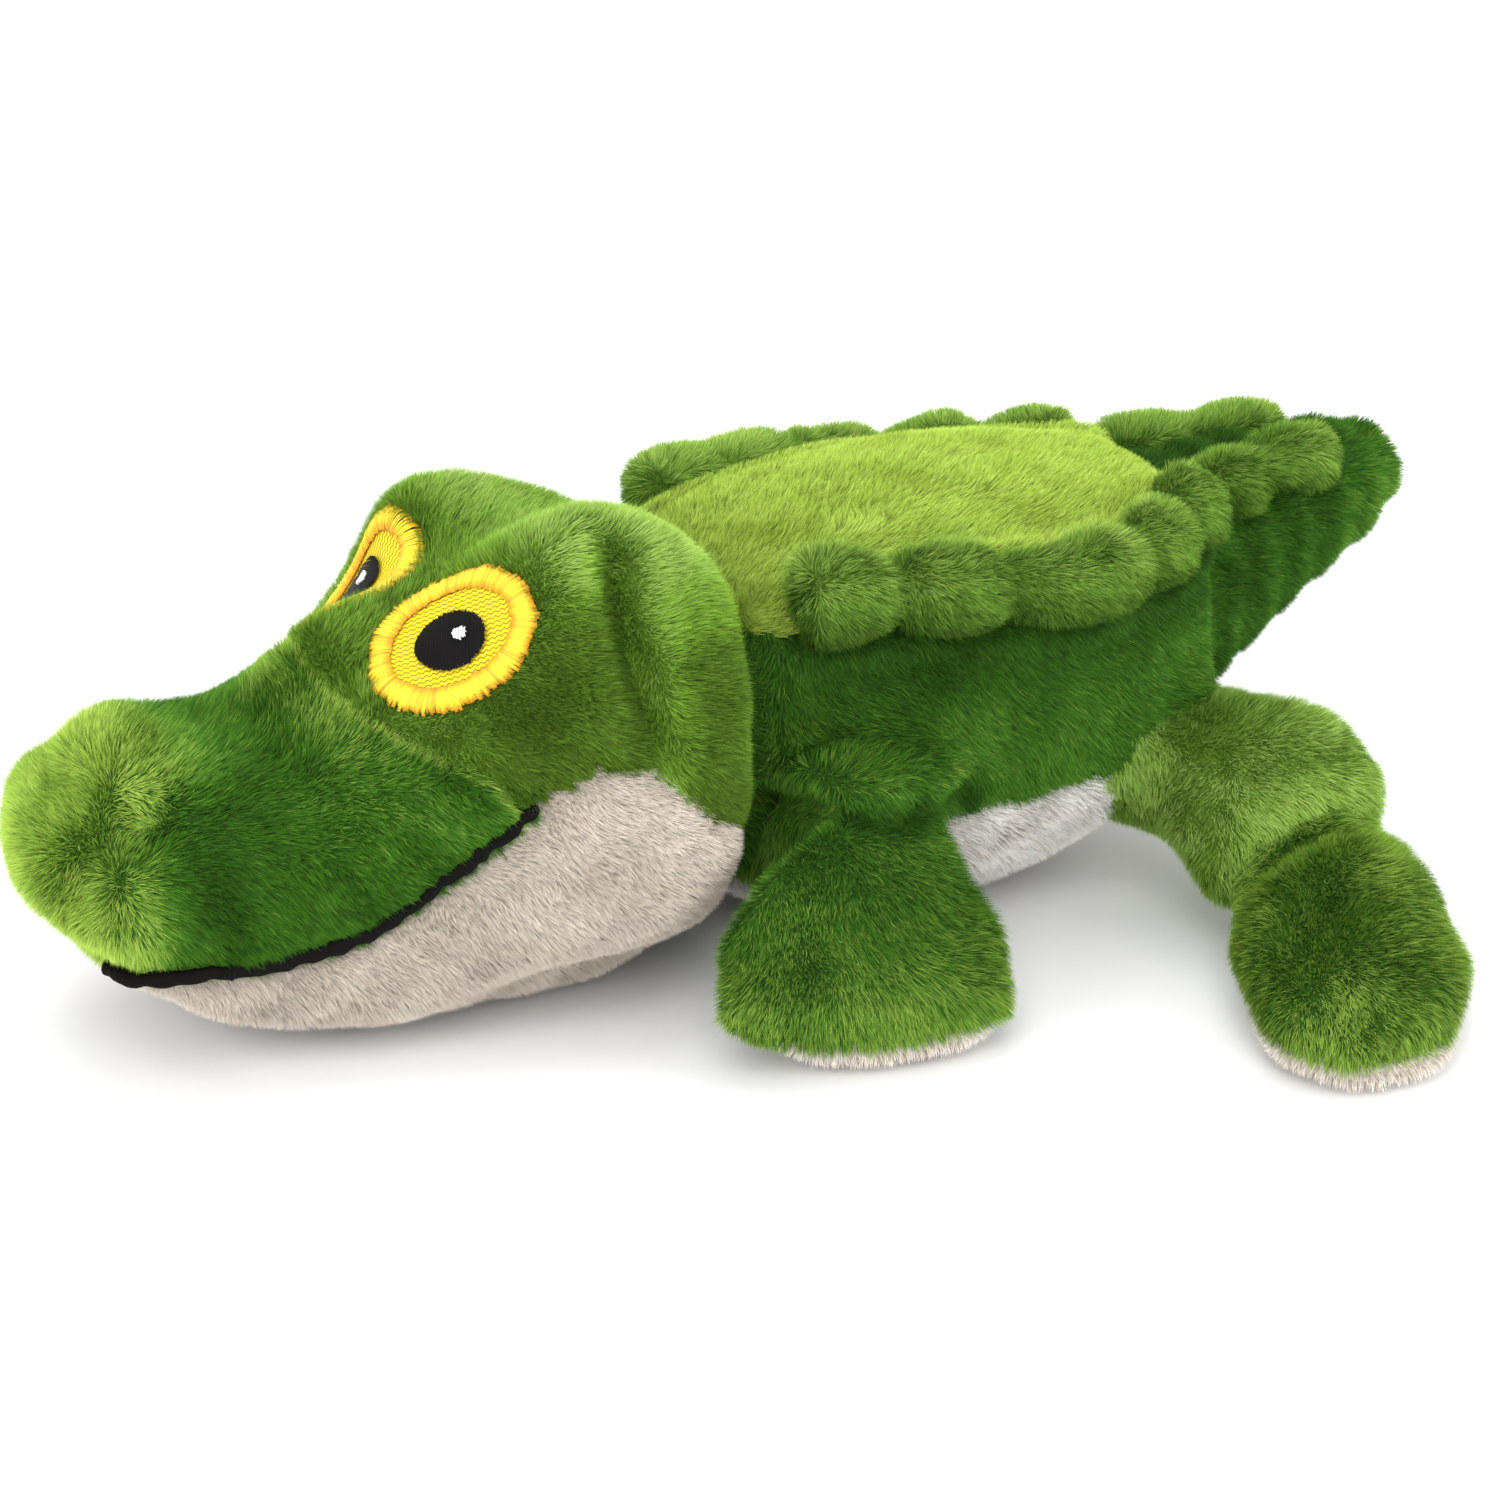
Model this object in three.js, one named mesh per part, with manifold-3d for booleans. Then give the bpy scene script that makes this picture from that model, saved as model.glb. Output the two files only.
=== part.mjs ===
// Crocodile squeaky dog toy: a stuffed plush crocodile with a press squeaker sewn into its body.
// Millimetres, +Z up. The nose points to -X, the tail to +X, and the animal's left side to -Y.

import * as THREE from "three";
import { mergeVertices } from "three/addons/utils/BufferGeometryUtils.js";
import Module from "manifold-3d";

// Cloth, seams and clearances
const clothThickness = 2.6;
const seamGap = 0.4;
const stuffingGap = 0.3;
const jointGap = 0.8;
const sweepRoom = 1.2;
const floorCut = 0.5;
const overrun = 40;
const weldTolerance = 0.0005;

// Torso
const torsoLength = 134;
const torsoWidth = 100;
const torsoHeight = 97;
const torsoLead = 2;
const bellySeamHeight = 33;
const backSeamWidth = 80;
const backSeamHeight = 62;
const stuffingSplitHeight = 46;

// Neck
const neckRadius = 40;
const neckFrontStep = 1.4;
const neckRise = 50;
const neckRearCut = 22;
const neckSocketDepth = 31;
const noseToNeck = 146;
const rimSetback = 15;
const headTurn = 12;
const headNod = 8;
const headLean = 7;

// Head
const headLength = 153;
const headWidth = 110;
const headHeight = 92;
const browHeight = 17;
const browSpread = 30;
const browReach = 17;
const browSetback = 100;
const cheekHeight = 63;
const snoutSeamLow = 81;
const snoutSeamSlant = 18;

// Tail
const tailLength = 77;
const tailWidth = 58;
const tailTopHeight = 88;
const tailRise = 56;
const tailRadius = 28;
const tailSway = 20;
const neckToTail = 105;

// Eyes and mouth trim
const eyeLength = 37;
const eyeWidth = 31;
const eyeBorder = 4.4;
const eyeSetback = 78;
const eyeSpread = 23;
const eyeRise = 84;
const rightEyeDrop = 5;
const eyeRoll = 25;
const pupilLength = 14;
const pupilWidth = 11;
const highlightSize = 3;
const feltThickness = 0.9;
const pipingRadius = 1.2;

// Frills
const frillLumpRadius = 11;
const frillValleyRadius = 6;
const frillLumpPitch = 25;
const frillWidth = 84;
const rightFrillInset = 4;

// Front legs
const frontLegWidth = 54;
const pawWidth = 72;
const pawThickness = 25;
const frontHipRadius = 12.5;
const frontHipRise = 44;
const frontHipSetback = 6;
const frontHipSpread = 52;
const frontLegReach = 32;
const frontLegLift = 30;
const frontLegDrop = 5;
const soleHeight = 5.5;

// Rear legs
const thighWidth = 46;
const thighThickness = 34;
const footWidth = 54;
const footThickness = 27;
const rearHipRadius = 15;
const rearHipRise = 31;
const rearHipSetback = 94;
const rearHipSpread = 33;
const thighReach = 50;
const footReach = 54;
const kneeSetback = 8;
const kneeRadius = 13;
const kneeRise = 20;
const rearLegLift = 20;
const rearLegDrop = 5;
const kneeLift = 20;
const kneeDrop = 10;

// Squeaker
const squeakerRadius = 17;
const squeakerWall = 1.6;
const squeakerHeight = 26;
const squeakerSetback = 53;
const baseHeight = 6;
const capHeight = 4;
const pleatDepth = 3;
const pleatCount = 4;
const plugRadius = 4.5;
const plugHeight = 5;
const plugBore = 1.6;
const reedThickness = 0.6;
const pocketClearance = 1.5;

// Counts that set how finely the curved forms are divided
const torsoSides = 16;
const torsoRings = 10;
const headSides = 18;
const headRings = 15;
const limbSides = 8;
const limbRings = 7;
const ballSides = 12;
const ballRings = 6;
const neckSides = 20;
const tailSides = 16;
const eyeSides = 12;
const squeakerSides = 12;
const blockSides = 10;
const blockRings = 7;
const frillSides = 6;
const frillRings = 18;
const tailFrillRings = 12;
const pipingSides = 5;
const pipingSteps = 24;
const mouthSteps = 10;

// Places that follow from the sizes above
const reach = noseToNeck + neckToTail + tailLength;
const noseX = -reach / 2;
const neckPivot = new THREE.Vector3(noseX + noseToNeck, 0, neckRise);
const tailPivot = new THREE.Vector3(neckPivot.x + neckToTail, 0, tailRise);
const rimX = neckPivot.x - rimSetback;
const torsoFrontX = neckPivot.x + torsoLead;
const torsoRearX = tailPivot.x + torsoLead;
const alongX = new THREE.Vector3(1, 0, 0);
const alongY = new THREE.Vector3(0, 1, 0);
const alongZ = new THREE.Vector3(0, 0, 1);

const wasm = await Module();
wasm.setup();

function toSolid(geometry) {
  const bare = geometry.clone();
  bare.deleteAttribute("normal");
  bare.deleteAttribute("uv");
  const merged = mergeVertices(bare, weldTolerance);
  return new wasm.Manifold(
    new wasm.Mesh({
      numProp: 3,
      vertProperties: new Float32Array(merged.attributes.position.array),
      triVerts: new Uint32Array(merged.index.array),
    })
  );
}

function toGeometry(solid) {
  const mesh = solid.getMesh();
  const geometry = new THREE.BufferGeometry();
  geometry.setAttribute("position", new THREE.BufferAttribute(mesh.vertProperties, 3));
  geometry.setIndex(new THREE.BufferAttribute(mesh.triVerts, 1));
  geometry.computeVertexNormals();
  return geometry;
}

// The largest body of a solid, without the crumbs that a cut can leave beside it
function mainBody(solid) {
  const bodies = solid.decompose();
  return bodies.reduce((best, body) => (body.volume() > best.volume() ? body : best));
}

// Smooth row of values between the rows of a table, with t running from 0 to 1 over the table
function rowAt(rows, t) {
  const place = Math.min(Math.max(t, 0), 1) * (rows.length - 1);
  const index = Math.min(Math.floor(place), rows.length - 2);
  const f = place - index;
  const before = rows[Math.max(index - 1, 0)];
  const start = rows[index];
  const end = rows[index + 1];
  const after = rows[Math.min(index + 2, rows.length - 1)];
  return start.map((value, column) => {
    const slopeIn = (end[column] - before[column]) / 2;
    const slopeOut = (after[column] - value) / 2;
    const square = 3 * (end[column] - value) - 2 * slopeIn - slopeOut;
    const cube = 2 * (value - end[column]) + slopeIn + slopeOut;
    return value + slopeIn * f + square * f * f + cube * f * f * f;
  });
}

// Closed skin over rings of points that turn about the way they follow, with a point at each end
function skinOver(rings, firstPoint, lastPoint) {
  const sides = rings[0].length;
  const points = [firstPoint, ...rings.flat(), lastPoint];
  const last = points.length - 1;
  const index = [];
  for (let side = 0; side < sides; side += 1) {
    const next = (side + 1) % sides;
    index.push(0, 1 + next, 1 + side);
    for (let ring = 0; ring < rings.length - 1; ring += 1) {
      const a = 1 + ring * sides;
      const b = a + sides;
      index.push(a + side, a + next, b + next, a + side, b + next, b + side);
    }
    const end = 1 + (rings.length - 1) * sides;
    index.push(end + side, end + next, last);
  }
  const geometry = new THREE.BufferGeometry().setFromPoints(points);
  geometry.setIndex(index);
  return geometry;
}

// The same closed skin moved along its own normals by a distance
function grown(geometry, distance) {
  const moved = geometry.clone();
  moved.computeVertexNormals();
  const place = moved.attributes.position;
  const normal = moved.attributes.normal;
  for (let i = 0; i < place.count; i += 1) {
    const x = place.getX(i) + normal.getX(i) * distance;
    const y = place.getY(i) + normal.getY(i) * distance;
    const z = place.getZ(i) + normal.getZ(i) * distance;
    place.setXYZ(i, x, y, z);
  }
  return toSolid(moved);
}

// Point on the cross-section of a row: x, half width, top, bottom and squareness
function sectionPoint([x, halfWidth, top, bottom, power], angle, bump) {
  const across = Math.sign(Math.cos(angle)) * Math.abs(Math.cos(angle)) ** (2 / power);
  const up = Math.sign(Math.sin(angle)) * Math.abs(Math.sin(angle)) ** (2 / power);
  const y = halfWidth * across;
  const z = (top + bottom) / 2 + ((top - bottom) / 2) * up;
  return new THREE.Vector3(x, y, z + bump(x, y, up));
}

// Swollen stuffed form along X, ring by ring
function stuffedForm(rows, count, sides, bump) {
  const rings = [];
  for (let ring = 1; ring < count; ring += 1) {
    const row = rowAt(rows, ring / count);
    const points = [];
    for (let side = 0; side < sides; side += 1) {
      points.push(sectionPoint(row, (2 * Math.PI * side) / sides, bump));
    }
    rings.push(points);
  }
  const poles = [rows[0], rows[rows.length - 1]].map((row) => sectionPoint(row, 0, bump));
  return skinOver(rings, poles[0], poles[1]);
}

// Stuffed limb or roll along a spine of rows: x, y, z, half width and half thickness
function stuffedLimb(rows, count, sides, wideAxis) {
  const placeAt = (t) => new THREE.Vector3(...rowAt(rows, t).slice(0, 3));
  const rings = [];
  for (let ring = 1; ring < count; ring += 1) {
    const t = ring / count;
    const [x, y, z, width, thick] = rowAt(rows, t);
    const along = placeAt(t + 0.5 / count).sub(placeAt(t - 0.5 / count)).normalize();
    const wide = wideAxis.clone().addScaledVector(along, -wideAxis.dot(along)).normalize();
    const flat = new THREE.Vector3().crossVectors(along, wide);
    const points = [];
    for (let side = 0; side < sides; side += 1) {
      const angle = (2 * Math.PI * side) / sides;
      const point = new THREE.Vector3(x, y, z);
      point.addScaledVector(wide, width * Math.cos(angle));
      point.addScaledVector(flat, thick * Math.sin(angle));
      points.push(point);
    }
    rings.push(points);
  }
  return skinOver(rings, placeAt(0), placeAt(1));
}

function box(minX, maxX, minY, maxY, minZ, maxZ) {
  const block = new THREE.BoxGeometry(maxX - minX, maxY - minY, maxZ - minZ);
  block.translate((minX + maxX) / 2, (minY + maxY) / 2, (minZ + maxZ) / 2);
  return toSolid(block);
}

// Everything between two places along X, or above and below a height
const ahead = (x) => box(-reach, x, -reach, reach, -reach, reach);
const behind = (x) => box(x, reach, -reach, reach, -reach, reach);
const below = (z) => box(-reach, reach, -reach, reach, -reach, z);
const above = (z) => box(-reach, reach, -reach, reach, z, reach);

// Ball whose facets go round the axis that it turns about, or with a half width a limb's long round root
function ball(centre, radius, axis, sides, halfWidth = radius) {
  const sphere = new THREE.SphereGeometry(radius, sides, ballRings);
  sphere.scale(1, halfWidth / radius, 1);
  sphere.applyQuaternion(new THREE.Quaternion().setFromUnitVectors(alongY, axis));
  sphere.translate(centre.x, centre.y, centre.z);
  return toSolid(sphere);
}

// Prism across the whole width from an outline in side view, x and z
function sidePrism(points) {
  const shape = new THREE.Shape(points.map(([x, z]) => new THREE.Vector2(x, z)));
  const prism = new THREE.ExtrudeGeometry(shape, { depth: reach, bevelEnabled: false });
  prism.rotateX(Math.PI / 2);
  prism.translate(0, reach / 2, 0);
  return toSolid(prism);
}

// Prism standing on a height from an outline in plan view, x and y
function planPrism(points, fromZ) {
  const shape = new THREE.Shape(points.map(([x, y]) => new THREE.Vector2(x, y)));
  const prism = new THREE.ExtrudeGeometry(shape, { depth: reach, bevelEnabled: false });
  prism.translate(0, 0, fromZ);
  return toSolid(prism);
}

function turned(solid, pivot, axis, degrees) {
  const turn = new THREE.Matrix4().makeRotationAxis(axis, THREE.MathUtils.degToRad(degrees));
  const out = new THREE.Matrix4().makeTranslation(pivot.x, pivot.y, pivot.z);
  const back = new THREE.Matrix4().makeTranslation(-pivot.x, -pivot.y, -pivot.z);
  return solid.transform(out.multiply(turn).multiply(back).elements);
}

// What a neighbour fills, seen from a limb that swings about a pivot, apart from the limb's own root
function sweptBy(neighbour, pivot, root, axis, swings) {
  const places = swings.map((degrees) => turned(neighbour, pivot, axis, -degrees));
  const swept = places.reduce((sum, place) => sum.add(place), neighbour);
  return swept.subtract(root);
}

const toy = new THREE.Group();

function addPiece(name, solid, color, roughness) {
  const material = new THREE.MeshStandardMaterial({ color, roughness, metalness: 0 });
  const mesh = new THREE.Mesh(toGeometry(mainBody(solid)), material);
  mesh.name = name;
  toy.add(mesh);
}

const sideGreen = "#2f7413";
const snoutGreen = "#37801a";
const crownGreen = "#4f8f22";
const backGreen = "#86b23c";
const offWhite = "#e4ded6";
const stuffingWhite = "#f4f4f0";
const eyeYellow = "#f3dc14";
const borderYellow = "#ffe528";
const threadBlack = "#151515";
const plasticWhite = "#e9e9e4";
const clothRough = 0.95;
const plasticRough = 0.4;

// Head: shares of its length, half width and height, with squareness
const chinShare = -floorCut / headHeight;
const headShares = [
  [0, 0, 0.46, 0.46, 2.1],
  [0.03, 0.5, 0.66, 0.25, 2.2],
  [0.12, 0.64, 0.75, 0.16, 2.3],
  [0.26, 0.68, 0.73, 0.08, 2.4],
  [0.4, 0.77, 0.82, 0.02, 2.4],
  [0.55, 0.92, 0.94, chinShare, 2.3],
  [0.71, 1, 1, chinShare, 2.3],
  [0.84, 0.99, 0.99, 0.1, 2.3],
  [0.93, 0.8, 0.9, 0.22, 2.2],
  [1, 0, 0.56, 0.56, 2.2],
];
const headRows = headShares.map(([along, wide, top, bottom, power]) => [
  noseX + along * headLength,
  (wide * headWidth) / 2,
  top * headHeight,
  bottom * headHeight,
  power,
]);

// Two brows rise over the eyes, and the crown leans a little to the right
const leanRise = Math.tan(THREE.MathUtils.degToRad(headLean));
function crownRise(x, y, up) {
  const back = (x - noseX - browSetback) / browReach;
  const out = (Math.abs(y) - browSpread) / browReach;
  const brow = browHeight * Math.exp(-(back * back + out * out) / 2);
  const behindNose = Math.min((x - noseX) / browSetback, 1);
  return Math.max(up, 0) * (brow - y * leanRise * behindNose);
}
const headForm = stuffedForm(headRows, headRings, headSides, crownRise);

// What the rear of the head fills as it turns and nods
const headRear = grown(headForm, sweepRoom).subtract(behind(rimX + sweepRoom)).subtract(ahead(rimX - overrun));
const headPlaces = [-headTurn, -headTurn / 2, 0, headTurn / 2, headTurn].flatMap((turn) =>
  [-headNod, 0, headNod].map((nod) => turned(turned(headRear, neckPivot, alongY, nod), neckPivot, alongZ, turn))
);
const headSweep = headPlaces.reduce((sum, place) => sum.add(place));

// Torso: shares along its length, of its half width, of its height for top and bottom, squareness
const floorShare = -floorCut / torsoHeight;
const torsoShares = [
  [-0.2, 0, 0.56, 0.56, 2.2],
  [-0.13, 0.62, 0.84, 0.2, 2.2],
  [0, 0.9, 0.94, 0.05, 2.3],
  [0.22, 1, 0.99, floorShare, 2.3],
  [0.44, 1, 1, floorShare, 2.3],
  [0.62, 0.9, 0.97, 0.06, 2.3],
  [0.77, 0.76, 0.93, 0.16, 2.2],
  [0.88, 0.5, 0.87, 0.32, 2.2],
  [0.95, 0, 0.6, 0.6, 2.2],
];
const torsoRows = torsoShares.map(([along, wide, top, bottom, power]) => [
  torsoFrontX + along * torsoLength,
  (wide * torsoWidth) / 2,
  top * torsoHeight,
  bottom * torsoHeight,
  power,
]);
const torsoForm = stuffedForm(torsoRows, torsoRings, torsoSides, () => 0);
const torsoBlock = grown(torsoForm, sweepRoom).subtract(ahead(neckPivot.x)).subtract(behind(torsoRearX));

// Hips, knees and the sockets that they turn in
const frontHips = [-1, 1].map(
  (side) => new THREE.Vector3(neckPivot.x + frontHipSetback, side * frontHipSpread, frontHipRise)
);
const rearHips = [-1, 1].map(
  (side) => new THREE.Vector3(neckPivot.x + rearHipSetback, side * rearHipSpread, rearHipRise)
);
const knees = rearHips.map((hip) => {
  const side = Math.sign(hip.y);
  return new THREE.Vector3(hip.x + kneeSetback, hip.y + side * thighReach, kneeRise);
});
const limbRoot = (pivot, radius, width, grow) => ball(pivot, radius + grow, alongX, ballSides, width / 2 + grow);
const frontRoot = (hip, grow) => limbRoot(hip, frontHipRadius, frontLegWidth, grow);
const rearRoot = (hip, grow) => limbRoot(hip, rearHipRadius, thighWidth, grow);
const kneeRoot = (knee, grow) => limbRoot(knee, kneeRadius, thighWidth, grow);
const neckBall = (radius, axis) => ball(neckPivot, radius, axis, neckSides);
const tailBall = (grow) => ball(tailPivot, tailRadius + grow, alongZ, tailSides);
const neckSocket = neckBall(neckRadius + jointGap, alongZ).subtract(behind(neckPivot.x + neckSocketDepth));
const torsoSockets = [
  neckSocket,
  tailBall(jointGap),
  ...frontHips.map((hip) => frontRoot(hip, jointGap)),
  ...rearHips.map((hip) => rearRoot(hip, jointGap)),
  headSweep,
  behind(torsoRearX),
  below(0),
];

function withoutAll(solid, cutters) {
  return cutters.reduce((rest, cutter) => rest.subtract(cutter), solid);
}

// Torso panels, cut from one shell along the seams
const torsoShell = withoutAll(toSolid(torsoForm).subtract(grown(torsoForm, -clothThickness)), torsoSockets);
const seamShares = [
  [-0.2, 0.98],
  [0.22, 1],
  [0.44, 1],
  [0.62, 0.92],
  [0.77, 0.66],
  [0.88, 0.36],
  [1, 0.1],
];

// Plan outline inside both back seams, let out by a gap
function backOutline(gap) {
  const side = seamShares.map(([along, wide]) => [
    torsoFrontX + along * torsoLength,
    (wide * backSeamWidth) / 2 + gap,
  ]);
  const otherSide = side.map(([x, y]) => [x, -y]).reverse();
  return [...side, ...otherSide];
}
const backRegion = planPrism(backOutline(0), backSeamHeight);
const backRegionWide = planPrism(backOutline(seamGap), backSeamHeight - seamGap);
const sideShell = torsoShell.subtract(backRegionWide).subtract(below(bellySeamHeight + seamGap));
const leftHalf = box(-reach, reach, -reach, 0, -reach, reach);
const rightHalf = box(-reach, reach, 0, reach, -reach, reach);
addPiece("back_panel", torsoShell.intersect(backRegion), backGreen, clothRough);
addPiece("left_side_panel", sideShell.intersect(leftHalf), sideGreen, clothRough);
addPiece("right_side_panel", sideShell.intersect(rightHalf), sideGreen, clothRough);
addPiece("belly_panel", torsoShell.intersect(below(bellySeamHeight)), offWhite, clothRough);

// Torso stuffing in two halves round the squeaker pocket
const squeakerX = neckPivot.x + squeakerSetback;
const squeakerZ = stuffingSplitHeight - squeakerHeight / 2;
const pocket = new THREE.CylinderGeometry(
  squeakerRadius + pocketClearance,
  squeakerRadius + pocketClearance,
  squeakerHeight + 2 * stuffingGap,
  squeakerSides
);
pocket.rotateX(Math.PI / 2);
pocket.translate(squeakerX, 0, stuffingSplitHeight);
const torsoStuffing = withoutAll(grown(torsoForm, -clothThickness - stuffingGap), [
  ...torsoSockets,
  toSolid(pocket),
]);
const upperStuffing = torsoStuffing.subtract(below(stuffingSplitHeight + stuffingGap));
addPiece("torso_filling_upper", upperStuffing, stuffingWhite, clothRough);
addPiece("torso_filling_lower", torsoStuffing.subtract(above(stuffingSplitHeight)), stuffingWhite, clothRough);

// Squeaker: base, reed plug and reed, pleated bellows, and the cap that is pressed
function lathed(profile) {
  const points = profile.map(([radius, z]) => new THREE.Vector2(radius, z));
  const geometry = new THREE.LatheGeometry(points, squeakerSides);
  geometry.rotateX(Math.PI / 2);
  geometry.translate(squeakerX, 0, squeakerZ);
  const solid = toSolid(geometry);
  return solid;
}
const plugHole = plugRadius + seamGap;
const basePoints = [
  [plugHole, 0],
  [squeakerRadius, 0],
  [squeakerRadius, baseHeight],
  [squeakerRadius - squeakerWall, baseHeight],
  [squeakerRadius - squeakerWall, squeakerWall],
  [plugHole, squeakerWall],
  [plugHole, 0],
];
const capInner = squeakerHeight - squeakerWall;
const capPoints = [
  [0, capInner],
  [squeakerRadius - squeakerWall, capInner],
  [squeakerRadius - squeakerWall, squeakerHeight - capHeight],
  [squeakerRadius, squeakerHeight - capHeight],
  [squeakerRadius, squeakerHeight],
  [0, squeakerHeight],
];
const bellowsFoot = baseHeight + stuffingGap;
const bellowsTop = squeakerHeight - capHeight - stuffingGap;
const halfPleat = (bellowsTop - bellowsFoot) / (2 * pleatCount);
const pleats = [];
for (let fold = 0; fold <= 2 * pleatCount; fold += 1) {
  const radius = fold % 2 === 0 ? squeakerRadius : squeakerRadius - pleatDepth;
  pleats.push([radius, bellowsFoot + fold * halfPleat]);
}
const innerPleats = pleats.map(([radius, z]) => [radius - squeakerWall, z]).reverse();
const plugPoints = [
  [plugBore, 0],
  [plugRadius, 0],
  [plugRadius, plugHeight],
  [plugBore, plugHeight],
  [plugBore, 0],
];
const reedFoot = plugHeight + stuffingGap;
const reedPoints = [
  [0, reedFoot],
  [plugRadius, reedFoot],
  [plugRadius, reedFoot + reedThickness],
  [0, reedFoot + reedThickness],
];
addPiece("squeaker_base", lathed(basePoints), plasticWhite, plasticRough);
addPiece("squeaker_bellows", lathed([...pleats, ...innerPleats, pleats[0]]), plasticWhite, plasticRough);
addPiece("squeaker_cap", lathed(capPoints), plasticWhite, plasticRough);
addPiece("squeaker_reed_plug", lathed(plugPoints), plasticWhite, plasticRough);
addPiece("squeaker_reed", lathed(reedPoints), plasticWhite, plasticRough);

// Neck: a stuffed ball in a cloth sleeve, on which the head nods in front and the torso turns behind
const neckMiddle = (rimX + torsoFrontX) / 2;
const neckEnd = behind(neckPivot.x + neckRearCut);
function neckForm(radius) {
  const front = neckBall(radius - neckFrontStep, alongY).subtract(behind(neckMiddle));
  return front.add(neckBall(radius, alongZ).subtract(ahead(neckMiddle))).subtract(neckEnd);
}
const neckCore = neckForm(neckRadius - clothThickness);
const neckSleeve = withoutAll(neckForm(neckRadius), [neckCore, ahead(rimX - overrun / 2)]);
addPiece("neck_sleeve", neckSleeve, sideGreen, clothRough);
addPiece("neck_filling", neckForm(neckRadius - clothThickness - stuffingGap), stuffingWhite, clothRough);
const headCuts = [neckBall(neckRadius - neckFrontStep + jointGap, alongY), behind(rimX), below(0)];

// Mouth line in side view: shares of the head's length and of the cheek's height
const mouthShares = [
  [0.02, 0.42],
  [0.12, 0.44],
  [0.25, 0.5],
  [0.38, 0.58],
  [0.48, 0.74],
  [0.56, 0.92],
];
const cheekShares = [
  [0.63, 1],
  [0.7, 0.97],
  [0.77, 0.8],
  [0.9, 0.6],
];
const sidePoint = ([along, height]) => [noseX + along * headLength, height * cheekHeight];
const mouthLine = mouthShares.map(sidePoint);

// Side outline of all that is white under the mouth line and the cheek, let out by a gap
function jawOutline(gap) {
  const upper = [...mouthLine, ...cheekShares.map(sidePoint)].map(([x, z]) => [x, z + gap]);
  const [rearX] = upper[upper.length - 1];
  const frontX = noseX - overrun;
  return [[frontX, -overrun], [frontX, upper[0][1]], ...upper, [rearX, -overrun]];
}
const snoutSeamX = noseX + snoutSeamLow;
function snoutOutline(gap) {
  const frontX = noseX - overrun;
  const highX = snoutSeamX - snoutSeamSlant - gap;
  return [
    [frontX, -overrun],
    [snoutSeamX + snoutSeamSlant - gap, -overrun],
    [snoutSeamX - gap, cheekHeight],
    [highX, headHeight + overrun],
    [frontX, headHeight + overrun],
  ];
}

// Mouth piping follows the mouth line round the head from one corner to the other
function mouthPath() {
  const proud = pipingRadius + stuffingGap;
  const oneSide = [];
  for (let step = 0; step <= mouthSteps; step += 1) {
    const [x, z] = rowAt(mouthLine, 1 - step / mouthSteps);
    let row = headRows[0];
    for (let t = 0; row[0] < x; t += 0.002) {
      row = rowAt(headRows, t);
    }
    const [, halfWidth, top, bottom, power] = row;
    const middle = (top + bottom) / 2;
    const drop = Math.abs((z - middle) / ((top - bottom) / 2));
    if (drop < 1) {
      const width = halfWidth * (1 - drop ** power) ** (1 / power) + proud;
      oneSide.push(new THREE.Vector3(x - proud / 2, -width, z - proud / 2));
    }
  }
  const front = oneSide[oneSide.length - 1];
  let crossing = headRows[0];
  for (let t = 0; crossing[3] > front.z; t += 0.002) {
    crossing = rowAt(headRows, t);
  }
  const nose = new THREE.Vector3(crossing[0], 0, front.z);
  const otherSide = oneSide.map((point) => new THREE.Vector3(point.x, -point.y, point.z)).reverse();
  return new THREE.CatmullRomCurve3([...oneSide, nose, ...otherSide]);
}
const mouthCurve = mouthPath();

function pipingTube(radius) {
  const shape = new THREE.Shape();
  for (let side = 0; side < pipingSides; side += 1) {
    const angle = (2 * Math.PI * side) / pipingSides;
    const point = [radius * Math.cos(angle), radius * Math.sin(angle)];
    if (side === 0) {
      shape.moveTo(...point);
    } else {
      shape.lineTo(...point);
    }
  }
  const path = { steps: pipingSteps, extrudePath: mouthCurve, bevelEnabled: false };
  return toSolid(new THREE.ExtrudeGeometry(shape, path));
}
const headShell = withoutAll(toSolid(headForm).subtract(grown(headForm, -clothThickness)), headCuts);
const jawRegion = sidePrism(jawOutline(0));
const jawRegionWide = sidePrism(jawOutline(seamGap));
const coverShell = headShell.subtract(jawRegionWide);
addPiece("jaw_panel", headShell.intersect(jawRegion), offWhite, clothRough);
addPiece("snout_panel", coverShell.intersect(sidePrism(snoutOutline(seamGap))), snoutGreen, clothRough);
addPiece("crown_panel", coverShell.subtract(sidePrism(snoutOutline(0))), crownGreen, clothRough);
const headStuffing = withoutAll(grown(headForm, -clothThickness - stuffingGap), headCuts);
addPiece("head_filling", headStuffing, stuffingWhite, clothRough);
const piping = pipingTube(pipingRadius).subtract(grown(headForm, stuffingGap));
addPiece("mouth_piping", piping, threadBlack, clothRough);

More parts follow.
